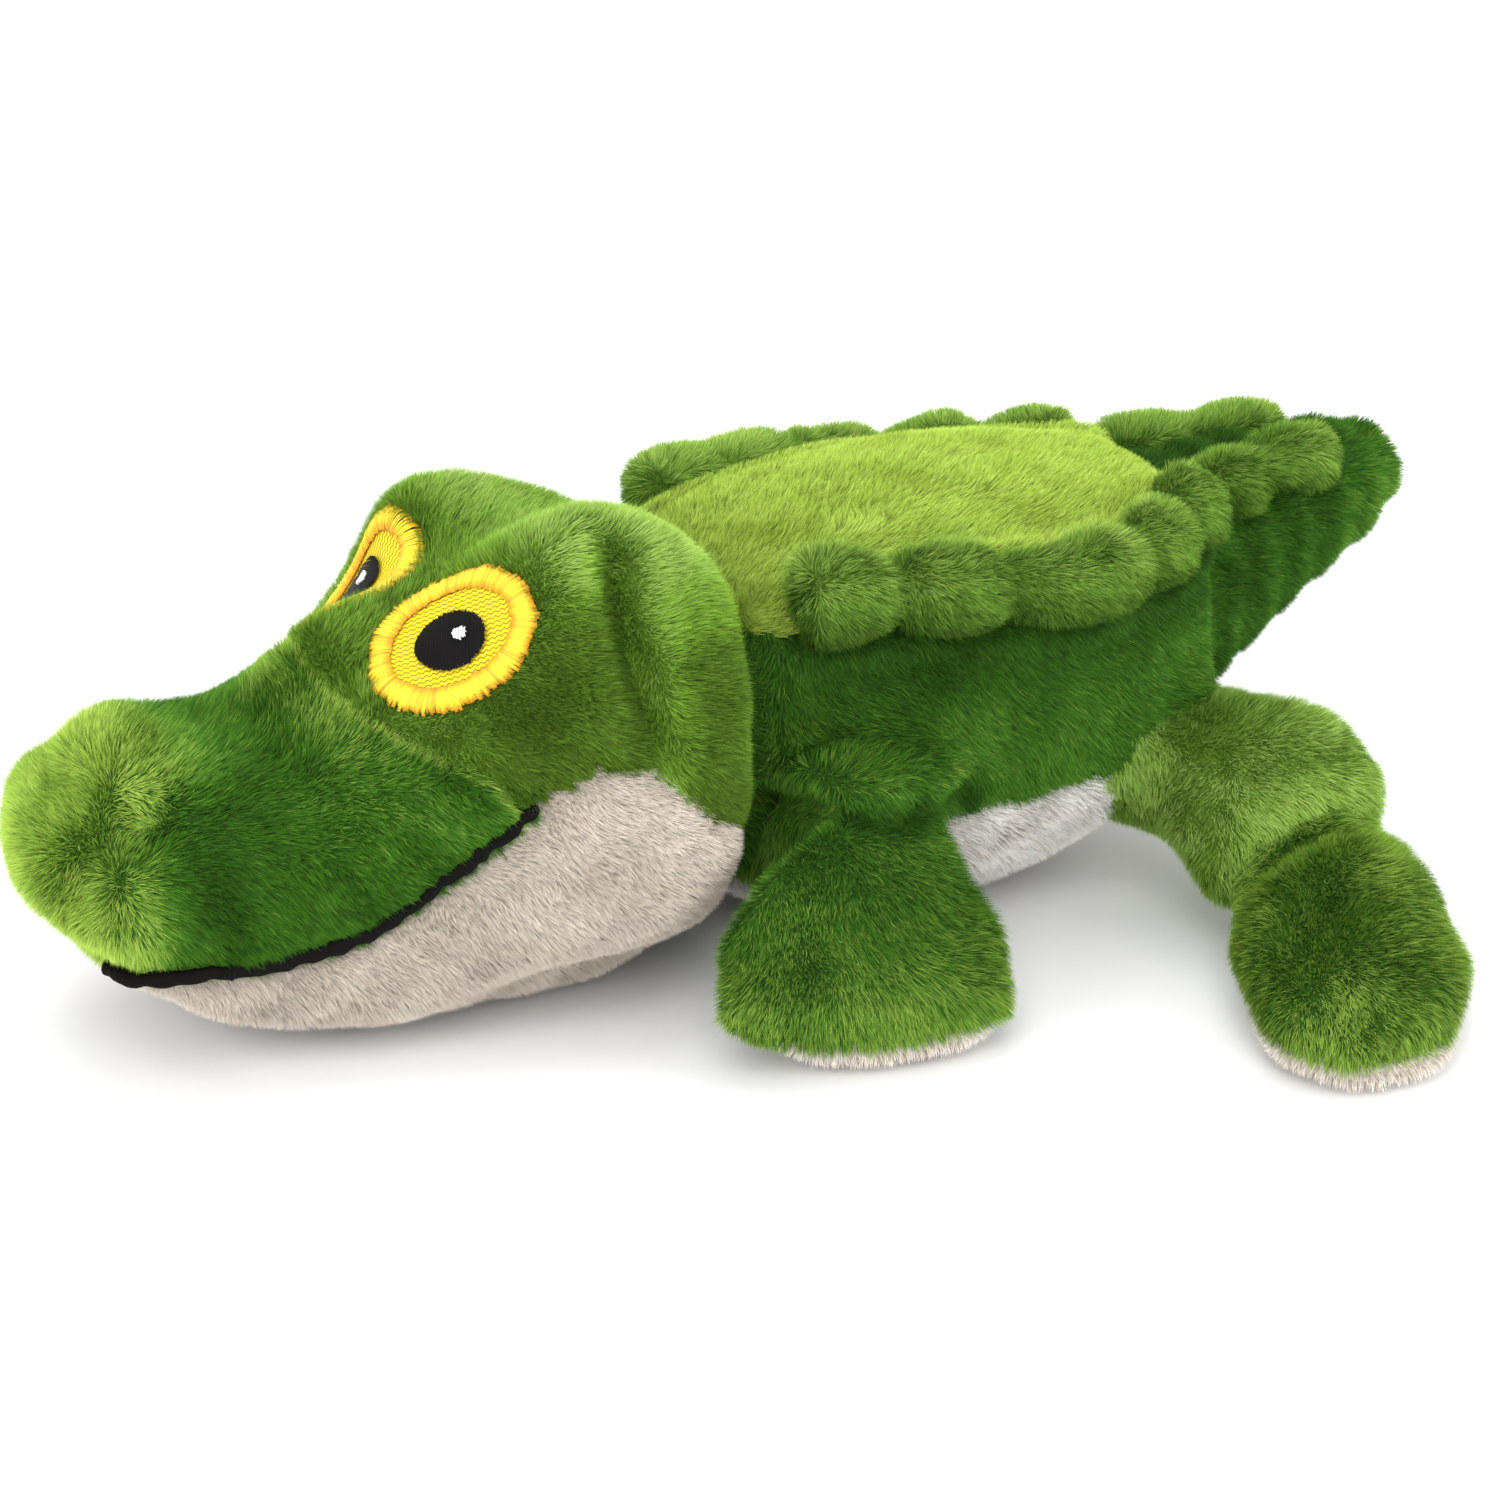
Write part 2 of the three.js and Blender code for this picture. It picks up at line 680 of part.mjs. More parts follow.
// Egg-shaped prism that stands on the brow's front slope
function eyePrism(side, length, width, forward) {
  const shape = new THREE.Shape();
  for (let step = 0; step < eyeSides; step += 1) {
    const angle = (2 * Math.PI * step) / eyeSides;
    const eggShare = 1 + 0.14 * Math.cos(angle);
    const point = [(length / 2) * Math.cos(angle), (width / 2) * Math.sin(angle) * eggShare];
    if (step === 0) {
      shape.moveTo(...point);
    } else {
      shape.lineTo(...point);
    }
  }
  const prism = new THREE.ExtrudeGeometry(shape, { depth: 2 * browReach, bevelEnabled: false });
  prism.translate(forward, 0, -browReach);
  const facing = new THREE.Vector3(-0.62, 0.55 * side, 0.56).normalize();
  const uphill = new THREE.Vector3(1, 0, 0).addScaledVector(facing, -facing.x).normalize();
  uphill.applyAxisAngle(facing, THREE.MathUtils.degToRad(-side * eyeRoll));
  const across = new THREE.Vector3().crossVectors(facing, uphill);
  const frame = new THREE.Matrix4().makeBasis(uphill, across, facing);
  frame.setPosition(noseX + eyeSetback, side * eyeSpread, eyeRise - Math.max(side, 0) * rightEyeDrop);
  prism.applyMatrix4(frame);
  return toSolid(prism);
}

// Layer that follows the head's outside between two heights over the cloth
function feltLayer(from, to) {
  return grown(headForm, to).subtract(grown(headForm, from));
}
const patchTop = stuffingGap + feltThickness;
const pupilTop = patchTop + stuffingGap + feltThickness;
const innerLength = eyeLength - 2 * eyeBorder;
const innerWidth = eyeWidth - 2 * eyeBorder;
const patchLayer = feltLayer(stuffingGap, patchTop);
const borderLayer = feltLayer(stuffingGap, patchTop + feltThickness);
const pupilLayer = feltLayer(patchTop + stuffingGap, pupilTop);
const highlightLayer = feltLayer(pupilTop + stuffingGap, pupilTop + stuffingGap + feltThickness);
["left", "right"].forEach((sideName, index) => {
  const side = 2 * index - 1;
  const inner = eyePrism(side, innerLength, innerWidth, 0);
  const hole = eyePrism(side, innerLength + seamGap, innerWidth + seamGap, 0);
  const rim = borderLayer.intersect(eyePrism(side, eyeLength, eyeWidth, 0)).subtract(hole);
  const pupil = pupilLayer.intersect(eyePrism(side, pupilLength, pupilWidth, 0));
  const highlight = highlightLayer.intersect(eyePrism(side, highlightSize, highlightSize, highlightSize));
  addPiece(`${sideName}_eye_patch`, patchLayer.intersect(inner), eyeYellow, clothRough);
  addPiece(`${sideName}_eye_border`, rim, borderYellow, clothRough);
  addPiece(`${sideName}_pupil`, pupil, threadBlack, clothRough);
  addPiece(`${sideName}_eye_highlight`, highlight, offWhite, clothRough);
});

// Tail: shares of its length behind the pivot, half width, top height
const tailShares = [
  [-0.12, 0, 0.64, 0.64, 2.1],
  [0, 0.95, 0.96, 0.3, 2.2],
  [0.2, 0.92, 1, 0.34, 2.2],
  [0.42, 0.76, 1, 0.45, 2.2],
  [0.64, 0.6, 1, 0.57, 2.2],
  [0.84, 0.47, 0.98, 0.67, 2.2],
  [0.96, 0.3, 0.94, 0.74, 2.1],
  [1, 0, 0.84, 0.84, 2.1],
];
const tailRows = tailShares.map(([along, wide, top, bottom, power]) => [
  tailPivot.x + along * tailLength,
  (wide * tailWidth) / 2,
  top * tailTopHeight,
  bottom * tailTopHeight,
  power,
]);
const tailForm = stuffedForm(tailRows, blockRings, blockSides, () => 0);
const tailSwings = [-tailSway, -tailSway / 2, tailSway / 2, tailSway];
const tailSweep = sweptBy(torsoBlock, tailPivot, tailBall(0), alongZ, tailSwings);
const tailOuter = toSolid(tailForm).add(tailBall(0));
const tailInner = grown(tailForm, -clothThickness).add(tailBall(-clothThickness));
const tailMouth = ahead(tailPivot.x - tailRadius / 2);
const tailSkin = withoutAll(tailOuter, [tailSweep, tailInner, tailMouth]);
const tailInset = -clothThickness - stuffingGap;
const tailStuffing = grown(tailForm, tailInset).add(tailBall(tailInset));
addPiece("tail_skin", tailSkin, sideGreen, clothRough);
addPiece("tail_filling", tailStuffing.subtract(tailSweep), stuffingWhite, clothRough);

// Frills: shares along the torso, of the frill width and of the torso's height, then the same on the tail
const torsoFrillShares = [
  [-0.02, 0.86, 0.85],
  [0.1, 0.95, 0.86],
  [0.28, 1.02, 0.84],
  [0.46, 1.04, 0.81],
  [0.62, 0.9, 0.82],
];
const tailFrillShares = [
  [-0.015, 0.956, 0.948],
  [0.194, 0.608, 0.981],
  [0.368, 0.405, 0.992],
  [0.524, 0.348, 0.992],
  [0.664, 0.29, 0.97],
];

// Scalloped stuffed roll from one share of the row to another
function frillForm(side, from, to, rings) {
  const inset = Math.max(side, 0) * rightFrillInset;
  const torsoPart = torsoFrillShares.map(([along, wide, height]) => [
    torsoFrontX + along * torsoLength,
    (side * wide * frillWidth) / 2 - wide * inset,
    height * torsoHeight,
  ]);
  const tailPart = tailFrillShares.map(([along, wide, height]) => [
    tailPivot.x + along * tailLength,
    (side * wide * tailWidth) / 2 - wide * inset,
    height * tailTopHeight,
  ]);
  const rows = [...torsoPart, ...tailPart];
  const rolled = [];
  let travelled = 0;
  let last = null;
  for (let ring = 0; ring <= rings; ring += 1) {
    const share = from + ((to - from) * ring) / rings;
    const [x, y, z] = rowAt(rows, share);
    const place = new THREE.Vector3(x, y, z);
    travelled += last ? place.distanceTo(last) : 0;
    last = place;
    const swell = Math.sqrt(Math.abs(Math.sin((Math.PI * travelled) / frillLumpPitch)));
    const radius = frillValleyRadius + (frillLumpRadius - frillValleyRadius) * swell;
    rolled.push([x, y, z, radius, radius]);
  }
  return stuffedLimb(rolled, rings, frillSides, alongZ);
}
const tailJointShare = 0.6;
["left", "right"].forEach((sideName, index) => {
  const side = 2 * index - 1;
  const torsoClear = grown(torsoForm, stuffingGap);
  const torsoRoll = toSolid(frillForm(side, 0, tailJointShare, frillRings)).subtract(torsoClear);
  const torsoFrill = torsoRoll.subtract(headSweep);
  const torsoFrillSide = torsoFrill.intersect(index === 0 ? leftHalf : rightHalf);
  const tailRoll = toSolid(frillForm(side, tailJointShare, 1, tailFrillRings)).subtract(grown(tailForm, stuffingGap));
  const halfGap = (side * stuffingGap) / 2;
  const sideSpace = box(-reach, reach, Math.min(halfGap, side * reach), Math.max(halfGap, side * reach), 0, reach);
  const root = tailBall(0);
  const sweep = sweptBy(toSolid(frillForm(side, 0, tailJointShare, frillRings)), tailPivot, root, alongZ, tailSwings);
  addPiece(`${sideName}_frill`, torsoFrillSide, crownGreen, clothRough);
  const tailFrill = withoutAll(tailRoll.intersect(sideSpace), [sweep, tailSweep]);
  addPiece(`${sideName}_tail_frill`, tailFrill, crownGreen, clothRough);
});

// A limb's cover, sole and stuffing, all clear of what the limb swings past
function addLimb(name, form, root, rootForm, sweep, cutters, hasSole) {
  const inset = clothThickness + stuffingGap;
  const outer = toSolid(form).add(rootForm(root, 0));
  const inner = grown(form, -clothThickness).add(rootForm(root, -clothThickness));
  const stuffing = grown(form, -inset).add(rootForm(root, -inset));
  const inward = Math.abs(root.y) - clothThickness;
  const mouth = box(-reach, reach, -inward, inward, -reach, reach);
  const shell = withoutAll(outer, [inner, sweep, below(0), mouth, ...cutters]);
  const cover = hasSole ? shell.subtract(below(soleHeight + seamGap)) : shell;
  addPiece(`${name}_cover`, cover, hasSole ? sideGreen : crownGreen, clothRough);
  addPiece(`${name}_filling`, withoutAll(stuffing, [sweep, below(0), ...cutters]), stuffingWhite, clothRough);
  if (hasSole) {
    addPiece(`${name}_sole`, shell.intersect(below(soleHeight)), offWhite, clothRough);
  }
}

// Spine of a limb: shares of its reach outwards and along X, of its root's height, width and thickness
function limbRows(shares, start, side, limbReach, width, thickness) {
  return shares.map(([out, back, height, wide, thick]) => [
    start.x + back * limbReach,
    start.y + side * out * limbReach,
    height * start.z,
    (wide * width) / 2,
    (thick * thickness) / 2,
  ]);
}
const frontLegShares = [
  [-0.06, 0, 1.2, 0, 0],
  [0, -0.06, 1.02, 0.7, 0.86],
  [0.3, -0.14, 0.7, 0.78, 0.94],
  [0.56, -0.26, 0.42, 0.9, 1],
  [0.82, -0.36, 0.262, 1, 1],
  [1, -0.4, 0.22, 0.84, 0.78],
  [1.1, -0.42, 0.2, 0, 0],
];
const thighShares = [
  [-0.25, 0, 1, 0, 0],
  [0, 0, 1, 0.86, 0.86],
  [0.4, 0.12, 1, 1, 1],
  [0.8, 0.16, 0.8, 1, 0.84],
  [1.12, 0.16, 0.64, 0, 0],
];
const footShares = [
  [-0.14, 0, 1.05, 0, 0],
  [0.04, 0, 1.05, 0.82, 0.9],
  [0.34, -0.1, 0.72, 1, 1],
  [0.64, -0.3, 0.59, 0.92, 0.94],
  [0.86, -0.5, 0.46, 0.66, 0.7],
  [1, -0.6, 0.4, 0, 0],
];
const swingSteps = (low, high) => [-low, high / 2, high];
["left", "right"].forEach((sideName, index) => {
  const side = 2 * index - 1;
  const hip = frontHips[index];
  const swings = swingSteps(frontLegDrop, frontLegLift).map((degrees) => side * degrees);
  const sweep = sweptBy(torsoBlock, hip, frontRoot(hip, 0), alongX, swings);
  const headCutters = [0, ...swings].map((degrees) => turned(headSweep, hip, alongX, -degrees));
  const rows = limbRows(frontLegShares, hip, side, frontLegReach, pawWidth, pawThickness);
  const form = stuffedLimb(rows, limbRings, limbSides, alongX);
  addLimb(`front_${sideName}_leg`, form, hip, frontRoot, sweep, headCutters, true);
});
["left", "right"].forEach((sideName, index) => {
  const side = 2 * index - 1;
  const hip = rearHips[index];
  const knee = knees[index];
  const swings = swingSteps(rearLegDrop, rearLegLift).map((degrees) => side * degrees);
  const sweep = sweptBy(torsoBlock, hip, rearRoot(hip, 0), alongX, swings);
  const thighRows = limbRows(thighShares, hip, side, thighReach, thighWidth, thighThickness);
  const thighForm = stuffedLimb(thighRows, limbRings, limbSides, alongX);
  const [nearKnee, pastKnee] = [knee.y, side * reach].sort((a, b) => a - b);
  const beyondKnee = box(-reach, reach, nearKnee, pastKnee, -reach, reach);
  const thighCuts = [kneeRoot(knee, jointGap), beyondKnee];
  addLimb(`rear_${sideName}_thigh`, thighForm, hip, rearRoot, sweep, thighCuts, false);
  const thighBlock = grown(thighForm, jointGap).subtract(beyondKnee);
  const kneeSwings = swingSteps(kneeDrop, kneeLift).map((degrees) => side * degrees);
  const kneeSweep = sweptBy(thighBlock, knee, kneeRoot(knee, 0), alongX, kneeSwings);
  const footRows = limbRows(footShares, knee, side, footReach, footWidth, footThickness);
  const footForm = stuffedLimb(footRows, limbRings, limbSides, alongX);
  addLimb(`rear_${sideName}_foot`, footForm, knee, kneeRoot, kneeSweep, [], true);
});

export default toy;
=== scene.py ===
"""Plush crocodile dog toy: pile panels, scalloped frills, stitched eyes and mouth, dressed over its frame."""

import math

import bmesh
import bpy
import numpy as np
from bpy.props import FloatProperty, FloatVectorProperty, PointerProperty
from mathutils import Matrix, Quaternion, Vector
from mathutils.bvhtree import BVHTree
from mathutils.kdtree import KDTree


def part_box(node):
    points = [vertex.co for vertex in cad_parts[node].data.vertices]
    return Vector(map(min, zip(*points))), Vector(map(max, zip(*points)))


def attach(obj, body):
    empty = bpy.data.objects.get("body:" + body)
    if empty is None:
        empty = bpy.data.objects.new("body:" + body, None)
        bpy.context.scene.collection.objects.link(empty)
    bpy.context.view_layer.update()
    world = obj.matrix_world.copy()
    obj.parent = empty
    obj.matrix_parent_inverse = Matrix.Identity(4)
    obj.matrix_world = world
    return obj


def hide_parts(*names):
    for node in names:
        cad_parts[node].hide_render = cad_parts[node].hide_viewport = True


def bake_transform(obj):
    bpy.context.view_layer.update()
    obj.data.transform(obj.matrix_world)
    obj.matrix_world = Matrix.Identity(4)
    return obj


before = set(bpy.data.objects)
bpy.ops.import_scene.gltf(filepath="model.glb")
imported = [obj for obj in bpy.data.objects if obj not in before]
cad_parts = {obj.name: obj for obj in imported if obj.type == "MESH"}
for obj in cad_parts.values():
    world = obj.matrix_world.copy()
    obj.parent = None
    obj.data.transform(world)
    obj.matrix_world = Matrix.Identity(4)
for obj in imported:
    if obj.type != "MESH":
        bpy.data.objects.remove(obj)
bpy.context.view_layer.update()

bl_info = {
    "name": "Plush Crocodile Dog Toy",
    "version": (1, 0, 0),
    "blender": (4, 5, 0),
    "location": "View3D > Sidebar > Crocodile",
    "description": "Builds the pile, frills, eyes and mouth of a stuffed crocodile dog toy round its frame",
    "category": "Object",
}

MM = 0.001
PATTERN_MAP = "OFBake"
SIDES = {"left": -1, "right": 1}


# Settings

def colour(name, description, default):
    return FloatVectorProperty(name=name, description=description, default=default, min=0, max=1,
                               subtype="COLOR_GAMMA")


def length(name, description, default):
    return FloatProperty(name=name, description=description, default=default, min=0, unit="LENGTH",
                         subtype="DISTANCE", precision=4)


class CrocodileSizes(bpy.types.PropertyGroup):
    skin_voxel: length("Skin voxel", "Grid of the remeshed skin before it is stuffed", 0.004)
    frill_voxel: length("Frill voxel", "Grid of the remeshed frills before they are stuffed", 0.003)
    puff_limit: length("Puff limit", "How far the stuffing may push the skin", 0.0025)
    cloth_backing: length("Cloth backing", "Thickness of the knitted backing under the pile", 0.0012)
    strand_width: length("Strand width", "Width of one strand of pile at its root", 0.00027)
    border_width: length("Eye border width", "Length of the satin stitches round an eye", 0.0049)
    piping_radius: length("Piping radius", "Radius of the sewn mouth line", 0.0016)
    sunk: length("Skin inset", "How far the backing lies under the tips of the pile", 0.0014)


class CrocodileColours(bpy.types.PropertyGroup):
    back: colour("Back", "Middle colour of the pile on the back", (0.72, 0.84, 0.32))
    side: colour("Sides", "Middle colour of the pile on the sides and paws", (0.295, 0.51, 0.14))
    snout: colour("Snout", "Middle colour of the pile on the snout", (0.33, 0.565, 0.155))
    crown: colour("Crown", "Middle colour of the pile on the crown and thighs", (0.52, 0.70, 0.22))
    frill: colour("Frills", "Middle colour of the pile of the frills", (0.46, 0.635, 0.22))
    white: colour("White", "Middle colour of the jaw, belly and soles", (0.95, 0.905, 0.85))
    eye: colour("Eye", "Colour of the eye's yellow filling stitches", (0.94, 0.86, 0.14))
    border: colour("Eye border", "Colour of the satin border of the eye", (0.97, 0.85, 0.21))
    orange: colour("Eye edge", "Colour of the outer and inner edge of the satin border", (0.93, 0.62, 0.08))
    # The twill shadow is painted shade between the rows of filling stitches.
    twill: colour("Twill shadow", "Colour between the zigzag filling stitches of the eye", (0.62, 0.50, 0.07))
    thread: colour("Black thread", "Colour of the mouth line and the pupils", (0.05, 0.045, 0.04))


# Meshes

def only(*objects):
    """Selects these objects alone and makes the last one active."""
    bpy.ops.object.select_all(action="DESELECT")
    for ob in objects:
        ob.select_set(True)
    bpy.context.view_layer.objects.active = objects[-1]


def link(name, mesh):
    ob = bpy.data.objects.new(name, mesh)
    bpy.context.scene.collection.objects.link(ob)
    return ob


def merged_copy(name, nodes):
    """One mesh from copies of CAD nodes, each with its loose triangles merged."""
    whole = bmesh.new()
    for node in nodes:
        part = bmesh.new()
        part.from_mesh(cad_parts[node].data)
        bmesh.ops.remove_doubles(part, verts=part.verts, dist=1e-6)
        mesh = bpy.data.meshes.new("part")
        part.to_mesh(mesh)
        part.free()
        whole.from_mesh(mesh)
        bpy.data.meshes.remove(mesh)
    mesh = bpy.data.meshes.new(name)
    whole.to_mesh(mesh)
    whole.free()
    return link(name, mesh)


def apply_modifiers(ob):
    only(ob)
    for modifier in list(ob.modifiers):
        bpy.ops.object.modifier_apply(modifier=modifier.name)


def points_of(mesh):
    co = np.empty(len(mesh.vertices) * 3, np.float32)
    mesh.vertices.foreach_get("co", co)
    return co.reshape(-1, 3).astype(float)


def set_points(mesh, co):
    mesh.vertices.foreach_set("co", np.asarray(co, np.float32).ravel())
    mesh.update()


def normals_of(mesh):
    normal = np.empty(len(mesh.vertices) * 3, np.float32)
    mesh.vertices.foreach_get("normal", normal)
    return normal.reshape(-1, 3).astype(float)


def unit(v):
    return v / np.maximum(np.linalg.norm(v, axis=-1, keepdims=True), 1e-12)


def largest_shell(ob):
    """Keeps the connected shell with the most points, so that no inner pocket is left."""
    only(ob)
    bpy.ops.object.mode_set(mode="EDIT")
    bpy.ops.mesh.select_all(action="SELECT")
    bpy.ops.mesh.separate(type="LOOSE")
    bpy.ops.object.mode_set(mode="OBJECT")
    shells = sorted(bpy.context.selected_objects, key=lambda o: len(o.data.vertices))
    kept = shells.pop()
    for shell in shells:
        bpy.data.objects.remove(shell)
    return kept


CLOTH = {
    "quality": 4, "mass": 0.3, "tension_stiffness": 15, "compression_stiffness": 15, "bending_stiffness": 0.6,
    "use_pressure": True, "uniform_pressure_force": 4,
}
CLOTH_FRAMES = 12


def stuffed(name, nodes, voxel, limit, rounds):
    """Copies CAD nodes, remeshes them, and swells the cloth under the pressure of its stuffing."""
    ob = merged_copy(name, nodes)
    remesh = ob.modifiers.new("Remesh", "REMESH")
    remesh.mode = "VOXEL"
    remesh.voxel_size = voxel
    smooth = ob.modifiers.new("Smooth", "SMOOTH")
    smooth.factor = 0.5
    smooth.iterations = rounds
    apply_modifiers(ob)
    ob = largest_shell(ob)
    ob.name = name
    before = points_of(ob.data)
    cloth = ob.modifiers.new("Cloth", "CLOTH")
    for key, value in CLOTH.items():
        setattr(cloth.settings, key, value)
    cloth.settings.effector_weights.gravity = 0
    cloth.collision_settings.use_collision = False
    for step in range(1, CLOTH_FRAMES + 1):
        bpy.context.scene.frame_set(step)
    graph = bpy.context.evaluated_depsgraph_get()
    swollen = points_of(ob.evaluated_get(graph).data)
    ob.modifiers.remove(cloth)
    bpy.context.scene.frame_set(1)
    move = swollen - before
    far = np.linalg.norm(move, axis=1, keepdims=True)
    move *= np.minimum(1, limit / np.maximum(far, 1e-9))
    set_points(ob.data, before + move)
    finer = ob.modifiers.new("Finer", "SUBSURF")
    finer.levels = finer.render_levels = 1
    apply_modifiers(ob)
    return ob


def waves(p, wavelength, seed, count=7):
    """Smooth wavy values from about -1 to 1 over space, one column for each axis."""
    rng = np.random.default_rng(seed)
    out = np.zeros((len(p), 3))
    for _ in range(count):
        k = unit(rng.normal(size=3)) * 2 * math.pi / (wavelength * rng.uniform(0.7, 1.4))
        out += np.sin(p @ k + rng.uniform(0, 2 * math.pi))[:, None] * unit(rng.normal(size=3))
    return out * (1.6 / math.sqrt(count))


def bell(values, centre, width):
    """One at the centre, falling off to nothing on both sides."""
    return np.exp(-((values - centre) / width) ** 2 / 2)


def between(values, low, high):
    """Rises smoothly from zero at the low value to one at the high value."""
    t = np.clip((values - low) / (high - low), 0, 1)
    return t * t * (3 - 2 * t)


def near(centre, width):
    """A test of places: one at the centre, falling off over the width. All tests are in millimetres."""
    return lambda values: bell(values, centre * MM, width * MM)


def groove(centre, width):
    """A test like near, a little narrower."""
    return near(centre, width / math.sqrt(2))


def above(low, high):
    """A test of places: none up to the first value, one from the second on."""
    return lambda values: between(values, low * MM, high * MM)


def below(low, high):
    """A test of places: one up to the first value, none from the second on."""
    return lambda values: between(-values, -high * MM, -low * MM)


def total(rows, p):
    """Adds up rows, each an amount with the tests of measured places that say where it holds."""
    out = np.zeros(len(p))
    for amount, tests in rows:
        part = np.full(len(p), float(amount))
        for measure, checks in tests.items():
            values = MEASURES[measure](p)
            for check in checks if isinstance(checks, tuple) else (checks,):
                part *= check(values)
        out += part
    return out


# Lines on the skin

# X and height of the mouth line as the photograph shows it.
MOUTH = np.array([
    (-170, 24), (-152.3, 26.8), (-142.8, 28.6), (-130.6, 28.6), (-118.2, 30.3), (-110.6, 32.6), (-99.3, 40.6),
    (-87.9, 49.3), (-78.4, 57),
]) * MM

# The same line in the frame, on the right side, from its corner to its front.
MOUTH_FRAME = np.array([
    (-78, 50.9, 58.2), (-79.1, 50.7, 57.2), (-86.1, 49.9, 50.4), (-93.3, 47.6, 44.2), (-101, 44.7, 38.8),
    (-109.5, 42.2, 34.7), (-118.8, 40, 32.3), (-128.2, 38.1, 30.4), (-137.6, 36.3, 28.5), (-146.2, 32, 26.4),
    (-152, 26, 26.2),
]) * MM

# The fold where a front leg comes out from under the side.
FOLD = np.array([
    (-30, 30, 38), (-24, 37, 41.5), (-21.5, 48, 45), (-19.8, 58.4, 46.9), (-12, 61.5, 46.2),
    (-5.8, 62.2, 44.7), (6, 57, 42.5), (18.2, 48.1, 39.3), (22, 42, 34),
]) * MM

# The middle line of a back frill, from front to rear.
FRILL_ROW = np.array([
    (-18.7, 36, 82.4), (-2.6, 40, 83.4), (21.5, 43, 81.5), (45.6, 43.5, 78.6), (67.1, 38, 79.5),
    (85.8, 28, 83.4), (93.0, 25, 84.0),
]) * MM
RIGHT_ROW_INSET = 4 * MM

# The seam between snout and crown, which sweeps back from its middle to both sides.
SEAM_MIDDLE = -0.108
SEAM_SWEEP = 0.0265
SEAM_HALF = 0.047
SEAM_REACH = 0.052
SEAM_POWER = 2.6


def crown_seam(y):
    """Where along X the seam between snout and crown runs, for a place across the head."""
    return SEAM_MIDDLE + SEAM_SWEEP * (np.minimum(np.abs(y), SEAM_REACH) / SEAM_HALF) ** SEAM_POWER


def mouth_height(x):
    """How high the mouth line runs on the skin, for a place along the head."""
    return np.interp(x, MOUTH[:, 0], MOUTH[:, 1])


def wavy(values, level, swing, pitch):
    """A level that swings up and down along some values; level, swing and pitch are in millimetres."""
    return (level + swing * np.sin(values / (pitch * MM))) * MM


def frill_row(side):
    """The middle line of a back frill. The right row lies further in than the left one."""
    return FRILL_ROW * np.array([1, side, 1]) - np.array([0, max(side, 0) * RIGHT_ROW_INSET, 0])


def line_distance(p, line):
    """How far places are from a line through some points."""
    far = np.full(len(p), 1.0)
    for a, b in zip(line[:-1], line[1:]):
        t = np.clip((p - a) @ (b - a) / ((b - a) @ (b - a)), 0, 1)
        far = np.minimum(far, np.linalg.norm(p - a - t[:, None] * (b - a), axis=1))
    return far


def to_one_side(p):
    """The same places with those on the left mirrored to the right."""
    return np.stack([p[:, 0], np.abs(p[:, 1]), p[:, 2]], 1)


MEASURES = {
    "x": lambda p: p[:, 0],
    "y": lambda p: p[:, 1],
    "z": lambda p: p[:, 2],
    "wide": lambda p: np.abs(p[:, 1]),
    "seam": lambda p: p[:, 0] - crown_seam(p[:, 1]),
    "hood": lambda p: p[:, 0] - wavy(p[:, 2], -57.5, 1.2, 8),
    "fold": lambda p: line_distance(to_one_side(p), FOLD),
    "left_row": lambda p: line_distance(p, frill_row(-1)),
    "right_row": lambda p: line_distance(p, frill_row(1)),
    "low_wrinkle": lambda p: p[:, 2] - wavy(p[:, 0], 13.5, 1.2, 11),
    "high_wrinkle": lambda p: p[:, 2] - wavy(p[:, 0], 20, 1, 17),
}


# Body skin

PANELS = {
    "back": "back_panel", "left_side": "left_side_panel", "right_side": "right_side_panel",
    "belly": "belly_panel", "neck": "neck_sleeve", "jaw": "jaw_panel", "snout": "snout_panel",
    "crown": "crown_panel", "tail": "tail_skin",
}
for _side in SIDES:
    PANELS[f"front_{_side}_leg"] = f"front_{_side}_leg_cover"
    PANELS[f"front_{_side}_sole"] = f"front_{_side}_leg_sole"
    PANELS[f"rear_{_side}_thigh"] = f"rear_{_side}_thigh_cover"
    PANELS[f"rear_{_side}_foot"] = f"rear_{_side}_foot_cover"
    PANELS[f"rear_{_side}_sole"] = f"rear_{_side}_foot_sole"

FILLINGS = {
    "back": "torso_filling_upper", "belly": "torso_filling_lower", "neck": "neck_filling",
    "snout": "head_filling", "tail": "tail_filling",
}
for _side in SIDES:
    for _limb in (f"front_{_side}_leg", f"rear_{_side}_thigh", f"rear_{_side}_foot"):
        FILLINGS[_limb] = f"{_limb}_filling"

body = {}

HEAD_TOP = above(50, 75)
SIDE_FACE = {"wide": above(26, 36), "z": above(56, 68)}

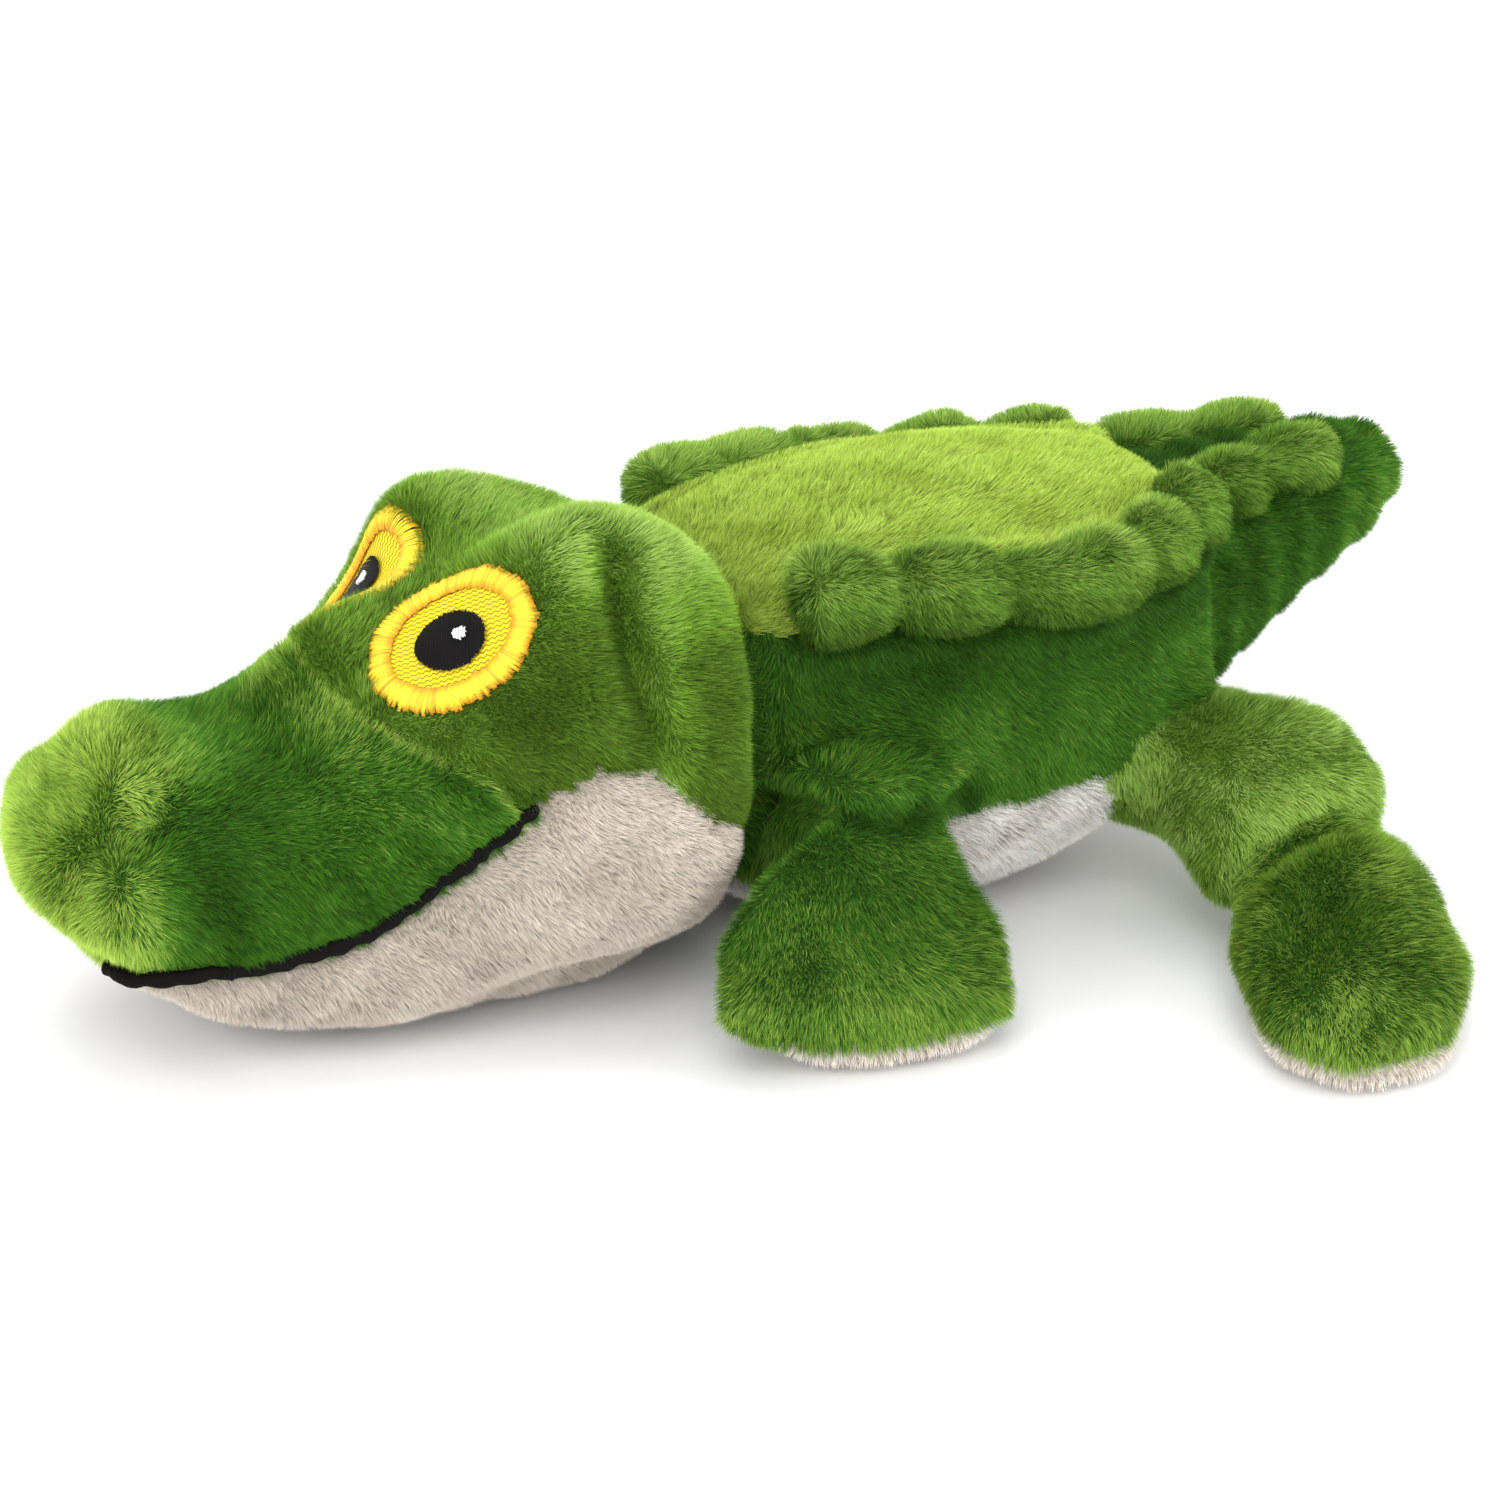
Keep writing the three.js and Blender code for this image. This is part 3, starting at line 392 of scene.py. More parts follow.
# How far the stuffed skin is moved along its normal, in millimetres, and where.
SKIN_FORMS = [
    # Nose: its lobe, the dip behind it, its front, and two dimples on each side
    (2.2, {"x": near(-148, 9), "y": near(0, 30), "z": HEAD_TOP}),
    (-2.2, {"x": near(-121, 9), "y": near(0, 30), "z": HEAD_TOP}),
    (5.2, {"x": below(-156, -140), "z": (above(29, 40), below(46, 62))}),
    (-3.0, {"x": near(-151, 4), "wide": near(24, 4), "z": near(60, 4)}),
    (-2.0, {"x": near(-156, 4), "wide": near(20, 4), "z": near(46, 4)}),
    # Jaw: its sides, and the hollow under the cheek
    (3.4, {"x": (below(-105, -80), above(-150, -130)), "z": near(10, 9)}),
    (-4.2, {"x": (near(-64, 18), below(-36, -28)), "z": near(9, 9), "wide": (above(24, 36), below(56, 64))}),
    # Brows: the hump between the eyes, the two brows, the eye sockets, and the valley behind them
    (5.6, {"x": near(-101, 10), "y": near(5, 8), "z": near(75.5, 12)}),
    (6.0, {"x": near(-60, 13), "y": near(-29, 12), "z": HEAD_TOP}),
    (8.4, {"x": near(-74.5, 10.5), "y": near(29, 12), "z": HEAD_TOP}),
    (-1.8, {"x": near(-87, 13), "y": near(-24, 13), "z": near(85, 13)}),
    (-5.8, {"x": near(-87, 13), "y": near(24, 13), "z": near(85, 13)}),
    (-3.0, {"x": near(-58, 16), "y": near(0, 10), "z": HEAD_TOP}),
    # Hood: the crease that parts it from the brow, deeper higher up, the rise behind it, and its left top
    (-3.06, {"hood": near(0, 2.3), **SIDE_FACE}),
    (-3.74, {"hood": near(0, 2.3), "wide": SIDE_FACE["wide"], "z": (SIDE_FACE["z"], above(66, 82))}),
    (1.6, {"hood": near(6.5, 3), **SIDE_FACE}),
    (3.0, {"x": near(-41, 8), "y": below(-14, 6), "z": HEAD_TOP}),
    # Legs: the knee's notch, the haunch, the rims of the soles, and the fold where a front leg comes out
    (-3.5, {"x": near(84, 22), "wide": near(83, 4), "z": near(32, 14)}),
    (4.5, {"x": near(100, 16), "wide": near(62, 12), "z": near(42, 18)}),
    (2.2, {"wide": above(56, 64), "z": near(4.5, 3.5)}),
    (-4.8, {"fold": groove(0, 3)}),
    (1.4, {"fold": groove(6.5, 3), "wide": below(50, 58), "z": above(40, 46)}),
    # The ridges that carry the frills
    (2.6, {"left_row": below(10, 14)}),
    (2.6, {"right_row": below(10, 14)}),
]
UNEVEN = ((0.6 * MM, 34 * MM, 5), (0.3 * MM, 16 * MM, 6))
TAIL_WRINKLES = {"start": 92 * MM, "full": 105 * MM, "height": 0.7 * MM, "pitch": 13 * MM, "slant": (60, 90)}

# Pushes of the limbs, the same on both sides, in millimetres: middle, reach and way.
LIMB_SHIFTS = (
    ((-46, 76, 0), (13, 18, 11.5), (8, -3, 0)),  # toe
    ((12, 74, 19), (10, 12, 7), (6.5, 0, 0)),  # heel
    ((16, 81, 0), (10, 12, 7), (-6.5, -3, 0)),  # foot of the heel
    ((66, 73, 13), (10, 9, 9), (-3.5, 1, -4.5)),  # notch at the knee
    ((89, 64, 34), (20, 14, 18), (6, 1, -2)),  # root of the thigh
)
# The thin edge of a front paw, which is evened out.
TOE = (-0.051, 0.071, 0.015)
TOE_REACH = 0.007
SKIN_OVER_FLOOR = 0.0004


def sculpted(p, normal):
    """Moves of the stuffed skin that the photograph shows: nose, brows, hood, creases and wrinkles."""
    x, y, z = p.T
    move = total(SKIN_FORMS, p) * MM
    for height, wavelength, seed in UNEVEN:
        move += height * waves(p, wavelength, seed)[:, 0]
    tail = between(x, TAIL_WRINKLES["start"], TAIL_WRINKLES["full"])
    slant_y, slant_z = TAIL_WRINKLES["slant"]
    phase = x / TAIL_WRINKLES["pitch"] * 2 * math.pi + y * slant_y + z * slant_z
    move += tail * TAIL_WRINKLES["height"] * np.sin(phase)
    return p + normal * move[:, None] + limb_shifts(p)


def limb_shifts(p):
    """Pushes parts of the paws and thighs to where the photograph has them, the same on both sides."""
    shift = np.zeros((len(p), 3))
    mirror = np.stack([np.ones(len(p)), np.sign(p[:, 1]), np.ones(len(p))], 1)
    for centre, reach, way in LIMB_SHIFTS:
        away = (to_one_side(p) / MM - centre) / reach
        shift += np.exp(-(away ** 2).sum(1) / 2)[:, None] * np.array(way) * MM
    return shift * mirror


SEAM_DEPTH = 0.0011
SEAM_WIDTH = 0.0022


def seam_grooves(p, normal, mesh, face_panel):
    """Draws the skin in along the seams, where two panels meet."""
    edge_panel = {}
    seam = set()
    for polygon in mesh.polygons:
        own = face_panel[polygon.index]
        for key in polygon.edge_keys:
            if edge_panel.setdefault(key, own) != own:
                seam.update(key)
    tree = KDTree(len(seam))
    for index in seam:
        tree.insert(p[index], index)
    tree.balance()
    far = np.array([tree.find(q)[2] for q in p])
    return p - normal * (SEAM_DEPTH * np.exp(-(far / SEAM_WIDTH) ** 2))[:, None]


BACK_EDGE = 0.0765  # ahead of SHOULDER no part of the back lies lower
SHOULDER = 0.020
BELLY_FRONT = -0.010  # ahead of it the belly is no wider than BELLY_HALF on each side
BELLY_HALF = 0.024
MOUTH_CORNER = -0.080  # ahead of it the mouth line parts snout and jaw, over MOUTH_BAND above and below it
MOUTH_BAND = 0.010
MOUTH_OVERLAP = 0.0015
LEG_TOP = 0.034  # above it a front leg ends at the fold
SOLE_EDGE = 0.0072


def panel_of_faces(mesh, sunk):
    """The panel of each face of the skin: that of the nearest CAD cover, trimmed to the seams seen."""
    verts, faces, owner = [], [], []
    for name, node in PANELS.items():
        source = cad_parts[node].data
        base = len(verts)
        verts.extend(v.co.copy() for v in source.vertices)
        for polygon in source.polygons:
            faces.append([base + i for i in polygon.vertices])
            owner.append(name)
    tree = BVHTree.FromPolygons(verts, faces)
    nearest = [owner[tree.find_nearest(q.center + q.normal * sunk)[2]] for q in mesh.polygons]
    return np.array([trimmed(name, *q.center) for name, q in zip(nearest, mesh.polygons)])


def trimmed(name, x, y, z):
    """The panel at a place on the skin, from the one whose cover is nearest."""
    side_panel = "left_side" if y < 0 else "right_side"
    if name == "neck" and z > BACK_EDGE:
        name = "back"
    if name == "back" and x < SHOULDER and z < BACK_EDGE:
        name = side_panel
    if name == "belly" and x < BELLY_FRONT and abs(y) > BELLY_HALF:
        name = side_panel
    if name in ("snout", "crown"):
        name = "snout" if x < crown_seam(y) else "crown"
    if name in ("snout", "jaw") and x < MOUTH_CORNER and abs(z - mouth_height(x)) < MOUTH_BAND:
        name = "snout" if z > mouth_height(x) - MOUTH_OVERLAP else "jaw"
    if name.endswith("_leg") and z > LEG_TOP and abs(y) < np.interp(x, FOLD[:, 0], FOLD[:, 1]):
        name = side_panel
    if name.endswith(("_leg", "_foot")) and z < SOLE_EDGE:
        name = name.rsplit("_", 1)[0] + "_sole"
    return name


def rounded(p, mesh, centre, reach, rounds=3):
    """Evens out the skin round a place and its mirror image, so that a thin edge does not fold over."""
    edges = np.array([edge.vertices[:] for edge in mesh.edges])
    away = np.linalg.norm(to_one_side(p) - centre, axis=1)
    weight = np.exp(-(away / reach) ** 2)[:, None]
    neighbours = np.bincount(edges.ravel(), minlength=len(p))[:, None]
    for _ in range(rounds):
        around = np.zeros_like(p)
        np.add.at(around, edges[:, 0], p[edges[:, 1]])
        np.add.at(around, edges[:, 1], p[edges[:, 0]])
        p = p + weight * (around / neighbours - p)
    return p


def body_skin(sizes):
    """Makes the whole stuffed skin under the pile and gives each face to the panel that it belongs to."""
    ob = stuffed("body_skin", [*PANELS.values(), *FILLINGS.values()], sizes.skin_voxel, sizes.puff_limit, 6)
    mesh = ob.data
    set_points(mesh, sculpted(points_of(mesh), normals_of(mesh)))
    normal = normals_of(mesh)
    p = rounded(points_of(mesh) - normal * sizes.sunk, mesh, TOE, TOE_REACH)
    set_points(mesh, p)
    body["panel"] = panel_of_faces(mesh, sizes.sunk)
    p = seam_grooves(p, normal, mesh, body["panel"])
    p[:, 2] = np.maximum(p[:, 2], SKIN_OVER_FLOOR)
    set_points(mesh, p)
    body["object"] = ob
    body["tree"] = BVHTree.FromPolygons([v.co.copy() for v in mesh.vertices],
                                        [list(q.vertices) for q in mesh.polygons])


def panel_piece(name, sizes):
    """The faces of one panel as an object of its own, with a wall of backing cloth."""
    mesh = body["object"].data.copy()
    mesh.name = name
    ob = link(name, mesh)
    keep = body["panel"] == name
    edit = bmesh.new()
    edit.from_mesh(mesh)
    edit.faces.ensure_lookup_table()
    bmesh.ops.delete(edit, geom=[edit.faces[i] for i in np.flatnonzero(~keep)], context="FACES")
    edit.to_mesh(mesh)
    edit.free()
    wall = ob.modifiers.new("Backing", "SOLIDIFY")
    wall.thickness = sizes.cloth_backing
    wall.offset = -1
    return ob


# Pile

STRAND_LENGTHS = (0.75, 1.1)
STRAND_WIDTHS = (0.8, 1.25)
STRAND_ROOT = 0.0003
STRAND_LANE = 0.006  # half the width of a strand in the pattern map
STRAND_FLOOR = 0.0002
STRAND_STRAY = 0.18  # how far strands stray from the way that they are brushed
STRAND_TWIST = 0.25
BRUSH_GRIP = 1.5
SWIRL, SWIRL_WAVE = 0.22, 0.017
FINE_SWIRL, FINE_SWIRL_WAVE = 0.12, 0.0048
TUFT, TUFT_WARP, TUFT_WAVE = 0.0030, 0.6, 0.011
CLUMP = 0.12  # how far the tips of a tuft are drawn together
CLUMP_SPREAD = (0.5, 1.4)
# Broad lighter and darker patches: random tone, and painted sheen where the pile leans another way.
PATCHY, PATCHY_WAVE = 0.05, 0.022
SPECKLED, SPECKLED_WAVE = 0.03, 0.007
TUFT_TONE = 0.025
STRAND_TONE = 0.15
SHADES_KEPT = (0.02, 0.98)
MAP_HEIGHTS = (0.02, 0.02, 0.99)  # of a strand's two roots and its tip


def scattered(mesh, density, rng):
    """Random places on a mesh's faces, so many per square millimetre, with their normals."""
    mesh.calc_loop_triangles()
    count = len(mesh.loop_triangles)
    corner = np.empty(count * 3, np.int32)
    mesh.loop_triangles.foreach_get("vertices", corner)
    corner = corner.reshape(-1, 3)
    p, n = points_of(mesh), normals_of(mesh)
    a, b, c = (p[corner[:, i]] for i in range(3))
    area = np.linalg.norm(np.cross(b - a, c - a), axis=1) / 2
    number = rng.poisson(area * density * 1e6)
    which = np.repeat(np.arange(count), number)
    u, v = rng.random(len(which)), rng.random(len(which))
    flip = u + v > 1
    u[flip], v[flip] = 1 - u[flip], 1 - v[flip]
    shares = np.stack([1 - u - v, u, v])[:, :, None]
    place, normal = ((values[corner[which].T] * shares).sum(0) for values in (p, n))
    return place, unit(normal)


def tufts(place, seed):
    """Gathers places into tufts: the tuft of each place, and how many each tuft has."""
    warped = place + waves(place, TUFT_WAVE, seed) * TUFT * TUFT_WARP
    cell = np.floor(warped / TUFT).astype(np.int64)
    key = (cell[:, 0] * 73856093) ^ (cell[:, 1] * 19349663) ^ (cell[:, 2] * 83492791)
    _, group, members = np.unique(key, return_inverse=True, return_counts=True)
    return group.ravel(), members


def grow_pile(ob, sizes, pile, seed, keep=None):
    """Adds strands to a piece: thin blades that lean the way it is brushed, with tips drawn into tufts."""
    rng = np.random.default_rng(seed)
    place, normal = scattered(ob.data, pile["density"] * (1), rng)
    if keep is not None:
        inside = keep(place)
        place, normal = place[inside], normal[inside]
    apply_modifiers(ob)
    count = len(place)
    size = pile["length"] * rng.uniform(*STRAND_LENGTHS, count)
    brush = unit(pile["brush"](place))
    brush = brush - (brush * normal).sum(1, keepdims=True) * normal
    brush = unit(brush) * np.minimum(1, np.linalg.norm(brush, axis=1, keepdims=True) * BRUSH_GRIP)
    swirl = waves(place, SWIRL_WAVE, seed + 1) * pile.get("swirl", SWIRL)
    swirl += waves(place, FINE_SWIRL_WAVE, seed + 2) * FINE_SWIRL
    way = unit(normal + brush * pile["lean"] + swirl + rng.normal(0, STRAND_STRAY, (count, 3)))
    width = sizes.strand_width * 1
    across = unit(np.cross(way, normal) + rng.normal(0, STRAND_TWIST, (count, 3)))
    half = across * (width / 2 * rng.uniform(*STRAND_WIDTHS, count))[:, None]
    root = place - normal * STRAND_ROOT
    tip = place + way * size[:, None]
    group, members = tufts(place, seed + 3)
    centre = np.stack([np.bincount(group, tip[:, i]) for i in range(3)], 1) / members[:, None]
    pull = pile.get("clump", CLUMP) * rng.uniform(*CLUMP_SPREAD, count)[:, None]
    tip += (centre[group] - tip) * pull
    tip[:, 2] = np.maximum(tip[:, 2], STRAND_FLOOR)
    tuft_shade = rng.normal(0, 1, len(members))[group]
    shade = pile["shade"](place) + PATCHY * waves(place, PATCHY_WAVE, seed + 4)[:, 0]
    shade += SPECKLED * waves(place, SPECKLED_WAVE, seed + 5)[:, 0] + TUFT_TONE * tuft_shade
    shade = np.clip(shade + rng.normal(0, STRAND_TONE, count), *SHADES_KEPT)
    add_strands(ob, np.stack([root - half, root + half, tip], 1), shade)


def add_strands(ob, points, shade):
    """Rebuilds a piece with its own faces and the strands, and a pattern map of shade and height."""
    mesh = ob.data
    count = len(points)
    p = points_of(mesh)
    faces = [list(q.vertices) for q in mesh.polygons]
    corners = np.array([len(f) for f in faces])
    own = np.concatenate(faces)
    loops = np.concatenate([own, len(p) + np.arange(count * 3)]).astype(np.int32)
    totals = np.concatenate([corners, np.full(count, 3)]).astype(np.int32)
    fresh = bpy.data.meshes.new(ob.name)
    co = np.concatenate([p, points.reshape(-1, 3)])
    fresh.vertices.add(len(co))
    fresh.vertices.foreach_set("co", co.astype(np.float32).ravel())
    fresh.loops.add(len(loops))
    fresh.loops.foreach_set("vertex_index", loops)
    fresh.polygons.add(len(totals))
    fresh.polygons.foreach_set("loop_start", np.concatenate([[0], np.cumsum(totals)[:-1]]).astype(np.int32))
    fresh.update(calc_edges=True)
    fresh.polygons.foreach_set("use_smooth", np.ones(len(totals), bool))
    sideways = np.array([-STRAND_LANE, STRAND_LANE, 0])
    strand = np.stack([shade[:, None] + sideways, np.tile(MAP_HEIGHTS, (count, 1))], 2)
    corner = np.concatenate([np.arange(n) for n in corners])
    tone = 0.35 + 0.1 * waves(p[own], 0.012, 99)[:, 0]
    # The backing lies at the root's height in the map, so it takes the pile's painted shade.
    own_map = np.stack([tone + np.where((corner == 1) | (corner == 2), STRAND_LANE, -STRAND_LANE),
                        np.where(corner >= 2, 0.015, 0.001)], 1)
    layer = fresh.uv_layers.new(name=PATTERN_MAP)
    layer.data.foreach_set("uv", np.concatenate([own_map.ravel(), strand.ravel()]).astype(np.float32))
    ob.data = fresh
    bpy.data.meshes.remove(mesh)


# Materials

BLACK = (0, 0, 0)
WHITE = (1, 1, 1)
TWILL_MAP = "TwillMap"
TWILL_PITCH = 0.00105  # from one row of filling stitches to the next
TWILL_WAVE = 0.0015
TWILL_SWING = 0.0005


def linear(value):
    return tuple(c / 12.92 if c <= 0.04045 else ((c + 0.055) / 1.055) ** 2.4 for c in value)


def mixed(a, b, t):
    return tuple(x + (y - x) * t for x, y in zip(a, b))


class Recipe:
    """A material and the nodes that it is made of."""

    def __init__(self, name, shader="BsdfPrincipled", **inputs):
        self.made = bpy.data.materials.new(name)
        self.made.use_nodes = True
        self.made.node_tree.nodes.clear()
        self.shader = self.add(shader, inputs)
        self.add("OutputMaterial", {"Surface": self.shader.outputs[0]})

    def put(self, node, name, value):
        """Gives an input a value, or links it to another node's output."""
        if isinstance(value, bpy.types.NodeSocket):
            self.made.node_tree.links.new(value, node.inputs[name])
        else:
            node.inputs[name].default_value = value

    def add(self, kind, inputs, **choices):
        node = self.made.node_tree.nodes.new("ShaderNode" + kind)
        for name, value in choices.items():
            setattr(node, name, value)
        for name, value in inputs.items():
            self.put(node, name, value)
        return node

    def maths(self, operation, *inputs):
        return self.add("Math", dict(enumerate(inputs)), operation=operation).outputs[0]

    def axes(self, map_name):
        """The two directions of a UV map."""
        where = self.add("UVMap", {}, uv_map=map_name)
        split = self.add("SeparateXYZ", {0: where.outputs["UV"]})
        return split.outputs["X"], split.outputs["Y"]

    def ramp(self, value, *stops):
        """A colour for a value, from stops of position and colour."""
        node = self.add("ValToRGB", {"Fac": value})
        elements = node.color_ramp.elements
        elements[0].position, elements[1].position = stops[0][0], stops[-1][0]
        for position, _ in stops[1:-1]:
            elements.new(position)
        for element, (_, tone) in zip(elements, stops):
            element.color = (*tone, 1)
        return node.outputs["Color"]

    def multiplied(self, tone, value, low, high, full=1.0):
        """A colour times a value that is spread between low and high."""
        spread = self.add("MapRange", {"Value": value, "From Max": full, "To Min": low, "To Max": high})
        factors = {0: 1, 6: tone, 7: spread.outputs["Result"]}
        mix = self.add("Mix", factors, data_type="RGBA", blend_type="MULTIPLY")
        return mix.outputs[2]

    def finish(self, tone, rough, gloss, relief=None):
        """Colours the surface and, with a relief of height, strength and distance, embosses it."""
        self.put(self.shader, "Base Color", tone)
        self.put(self.shader, "Roughness", rough)
        self.put(self.shader, "Specular IOR Level", gloss)
        if relief:
            bump = self.add("Bump", dict(zip(("Height", "Strength", "Distance"), relief)))
            self.put(self.shader, "Normal", bump.outputs["Normal"])
        return self.made


def plush(name, middle, dark=0.35, light=0.55, tint=(0.80, 0.90, 0.40)):
    """Pile whose shade comes from the map's first direction and whose root is darker than its tip: painted
    shade deep in the pile, painted light on the tips.
    """
    recipe = Recipe(name)
    across, along = recipe.axes(PATTERN_MAP)
    base = linear(middle)
    darkest, lightest = mixed(BLACK, base, dark), mixed(base, linear(tint), light)
    tone = recipe.ramp(across, (0.05, darkest), (0.5, base), (0.95, lightest))
    # From root to tip each strand grows lighter: painted shade deep in the pile, painted light at the tip.
    return recipe.finish(recipe.multiplied(tone, along, 0.50, 1.14, 0.9), 0.8, 0.12)


def thread(name, colour_value, rough, relief=0.5, scale=900, faded=0.06, gloss=0.5):
    """Fine wound thread: a slight streak of tone and relief along the stitches."""
    recipe = Recipe(name)
    place = recipe.add("TexCoord", {}).outputs["Object"]
    grain = recipe.add("TexNoise", {"Scale": scale, "Detail": 2, "Vector": place}).outputs["Fac"]
    base = linear(colour_value)
    tone = recipe.ramp(grain, (0, mixed(BLACK, base, 0.72)), (1, mixed(base, WHITE, faded)))
    return recipe.finish(tone, rough, gloss, (grain, relief, 0.0002))


def banded(name, colour_value, edge_value, gloss=0.3):
    """Satin stitches: each with its own tone, and with both ends in the colour of the edge."""
    recipe = Recipe(name)
    across, along = recipe.axes(PATTERN_MAP)
    base, edge = linear(colour_value), linear(edge_value)
    tone = recipe.ramp(along, (0.04, edge), (0.24, base), (0.66, base), (0.99, edge))
    return recipe.finish(recipe.multiplied(tone, across, 0.60, 1.10), 0.5, gloss)


def zigzag(name, colour_value, shadow_value):
    """Rows of zigzag filling stitches, drawn in the patch's own map, which is in metres."""
    recipe = Recipe(name)
    u, v = (recipe.maths("ADD", axis, 1.0) for axis in recipe.axes(TWILL_MAP))
    bent = recipe.maths("PINGPONG", u, TWILL_WAVE / 2)
    bent = recipe.maths("MULTIPLY", bent, TWILL_SWING / (TWILL_WAVE / 2))
    row = recipe.maths("PINGPONG", recipe.maths("ADD", v, bent), TWILL_PITCH / 2)
    row = recipe.maths("DIVIDE", row, TWILL_PITCH / 2)
    # Between the rows the colour is painted shade.
    tone = recipe.ramp(row, (0.12, linear(shadow_value)), (0.55, linear(colour_value)))
    return recipe.finish(tone, 0.6, 0.25, (row, 0.6, 0.0003))


def dress(ob, made):
    ob.data.materials.clear()
    ob.data.materials.append(made)


def smooth(mesh):
    for polygon in mesh.polygons:
        polygon.use_smooth = True


def sew_on(ob, made, node):
    """Dresses a piece that rides the head in place of a CAD node."""
    dress(ob, made)
    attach(ob, "head")
    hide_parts(node)


# Pile settings

def toward(*way):
    return lambda p: np.tile(np.array(way, float), (len(p), 1))


def limb_brush(start, side, down=0.8):
    """Brushes the pile of a limb outward and down from where the limb starts."""
    def brush(p):
        away = p - np.array(start)
        away[:, 2] = -down * np.abs(away[:, 1]) - 0.004
        away[:, 1] = side * np.abs(away[:, 1])
        return unit(away)
    return brush


def shade(*rows, low=0.0):
    """The shade of the pile from 0, dark, to 1, light: a sum of rows as in total."""
    return lambda p: np.clip(total(rows, p), low, 1)


SEAM_LINE = ((0.34, {"seam": near(0, 0.7)}), (-0.12, {"seam": near(-2.2, 1)}))
FLANK = above(17, 29)
TEMPLE = {"x": (above(-94, -80), below(-61, -56)), "wide": above(34, 44)}
WRINKLED = above(-120, -100)

SNOUT_SHADE = shade(
    (0.24, {}),
    # Painted light on the nose.
    (0.68, {"x": below(-156, -136)}),
    (0.02, {"x": below(-130, -80), "z": below(34, 50)}),
    (0.20, {"x": above(-125, -98), "z": above(38, 60)}),
    # Painted light on the top of the nose and along the top of the snout behind it.
    (0.30, {"x": below(-142, -128), "z": above(58, 68)}),
    (0.40, {"x": above(-134, -124), "z": above(60, 72)}),
    # Painted shade on the flanks of the nose.
    (-0.42, {"x": near(-147.5, 6.2), "z": near(48, 16), "wide": FLANK}),
    (-0.08, {"x": near(-137, 5), "z": near(62, 12), "wide": FLANK}),
    *SEAM_LINE,
)
CROWN_SHADE = shade(
    (0.50, {}),
    (-0.16, {"x": below(-85, -62)}),
    # Painted shade on the temple under the brow, deeper lower down.
    (-0.18, TEMPLE),
    (-0.18, {**TEMPLE, "z": below(84, 96)}),
    (0.20, {"x": near(-94, 6), "z": near(73, 6)}),
    # Painted light on the top of the brow behind the eye.
    (0.24, {"x": above(-80, -66), "z": above(90, 99)}),
    # Painted shade in the hood's crease.
    (-0.45, {"hood": near(-0.8, 2.6), **SIDE_FACE}),
    (0.08, {"hood": near(6, 3), **SIDE_FACE}),
    (-0.50, {"x": above(-54, -46), "z": below(78, 90)}),
    *SEAM_LINE,
)
JAW_SHADE = shade(
    (0.13, {}),
    # The jaw is darker low down and lighter from 22 to 45 mm up: painted shade where it turns under.
    (0.10, {"z": above(22, 45)}),
    # Painted shade in the two creases along the jaw.
    (-0.22, {"low_wrinkle": near(0, 0.6), "x": WRINKLED}),
    (-0.154, {"high_wrinkle": near(0, 0.5), "x": WRINKLED}),
    low=-1,
)
SIDE_SHADE = shade(
    (0.36, {}),
    # Painted shadow under the frills.
    (-0.22, {"z": above(56, 70)}),
    (0.14, {"z": below(22, 40)}),
    (0.14, {"x": below(-20, 5)}),
    # Painted shade in the fold over the front leg.
    (-0.5, {"fold": groove(0, 2.8)}),
)
TAIL_SHADE = shade((0.21, {}), (0.24, {"x": above(126, 146)}), (-0.10, {"z": above(72, 80)}))
# A paw is lighter low down, and has painted shade in the fold where it comes out from under the side.
PAW_SHADE = shade((0.46, {}), (0.22, {"z": below(10, 34)}), (-0.5, {"fold": groove(0, 3.4)}))


def flat_shade(value):
    return shade((value, {}))


def pile(length, density, lean, brush, shade, **more):
    """Settings of a pile: strand length in mm, strands per square mm, lean, brush and shade."""
    return dict(length=length * MM, density=density, lean=lean, brush=brush, shade=shade, **more)


PILES = {
    "back": pile(2.6, 9, 0.9, toward(1, 0, -0.1), flat_shade(0.5)),
    "side": pile(3.4, 8, 0.9, toward(0.5, 0, -1), SIDE_SHADE),
    "belly": pile(3.0, 5, 0.7, toward(1, 0, -0.2), flat_shade(0.95)),
    "neck": pile(3.4, 5, 0.8, toward(1, 0, -0.3), flat_shade(0.4)),
    "jaw": pile(2.8, 8, 0.9, toward(1, 0, -0.5), JAW_SHADE),
    "snout": pile(3.4, 9, 0.9, toward(1, 0, -0.55), SNOUT_SHADE),
    "crown": pile(3.4, 9, 0.8, toward(1, 0, -0.35), CROWN_SHADE),
    "tail": pile(3.4, 8, 0.9, toward(1, 0, -0.4), TAIL_SHADE),
    "sole": pile(2.6, 4, 0.6, toward(0, 0, -1), flat_shade(0.55)),
}


# Eyes

RING_LONG = 0.0188
RING_SHORT = 0.0150
EGG = -0.07
EYE_PLACES = {"left": (0.0026, 0.0019, 8), "right": (-0.0024, -0.0037, -25)}
EYE_FACING = (-0.62, 0.55, 0.56)
EYE_DEPTH = 0.02
PILE_UNDER_BORDER = 0.0018
PATCH_INSET = 0.0032
PATCH_LIFT = 0.0010
PATCH_WALL = 0.0008
PATCH_RINGS = 12
PATCH_SIDES = 56
BORDER_STITCHES = 230
BORDER_LIFT = 0.0012
BORDER_RAGGED = (0.00030, 0.00022)  # at the outer and inner ends of its stitches
BORDER_STRAY = 0.006
BORDER_LAYER = 0.00012
BORDER_DIP = 0.0004
BORDER_THREAD = (0.00072, 0.0009)  # width and height of a stitch
SATIN_PITCH = 0.00030
SATIN_SLANT = 0.16
SATIN_RAGGED = 0.00016
SATIN_LAYER = 0.0001
SATIN_THREAD = (0.00044, 0.0006)
TONES_KEPT = (0.05, 0.95)
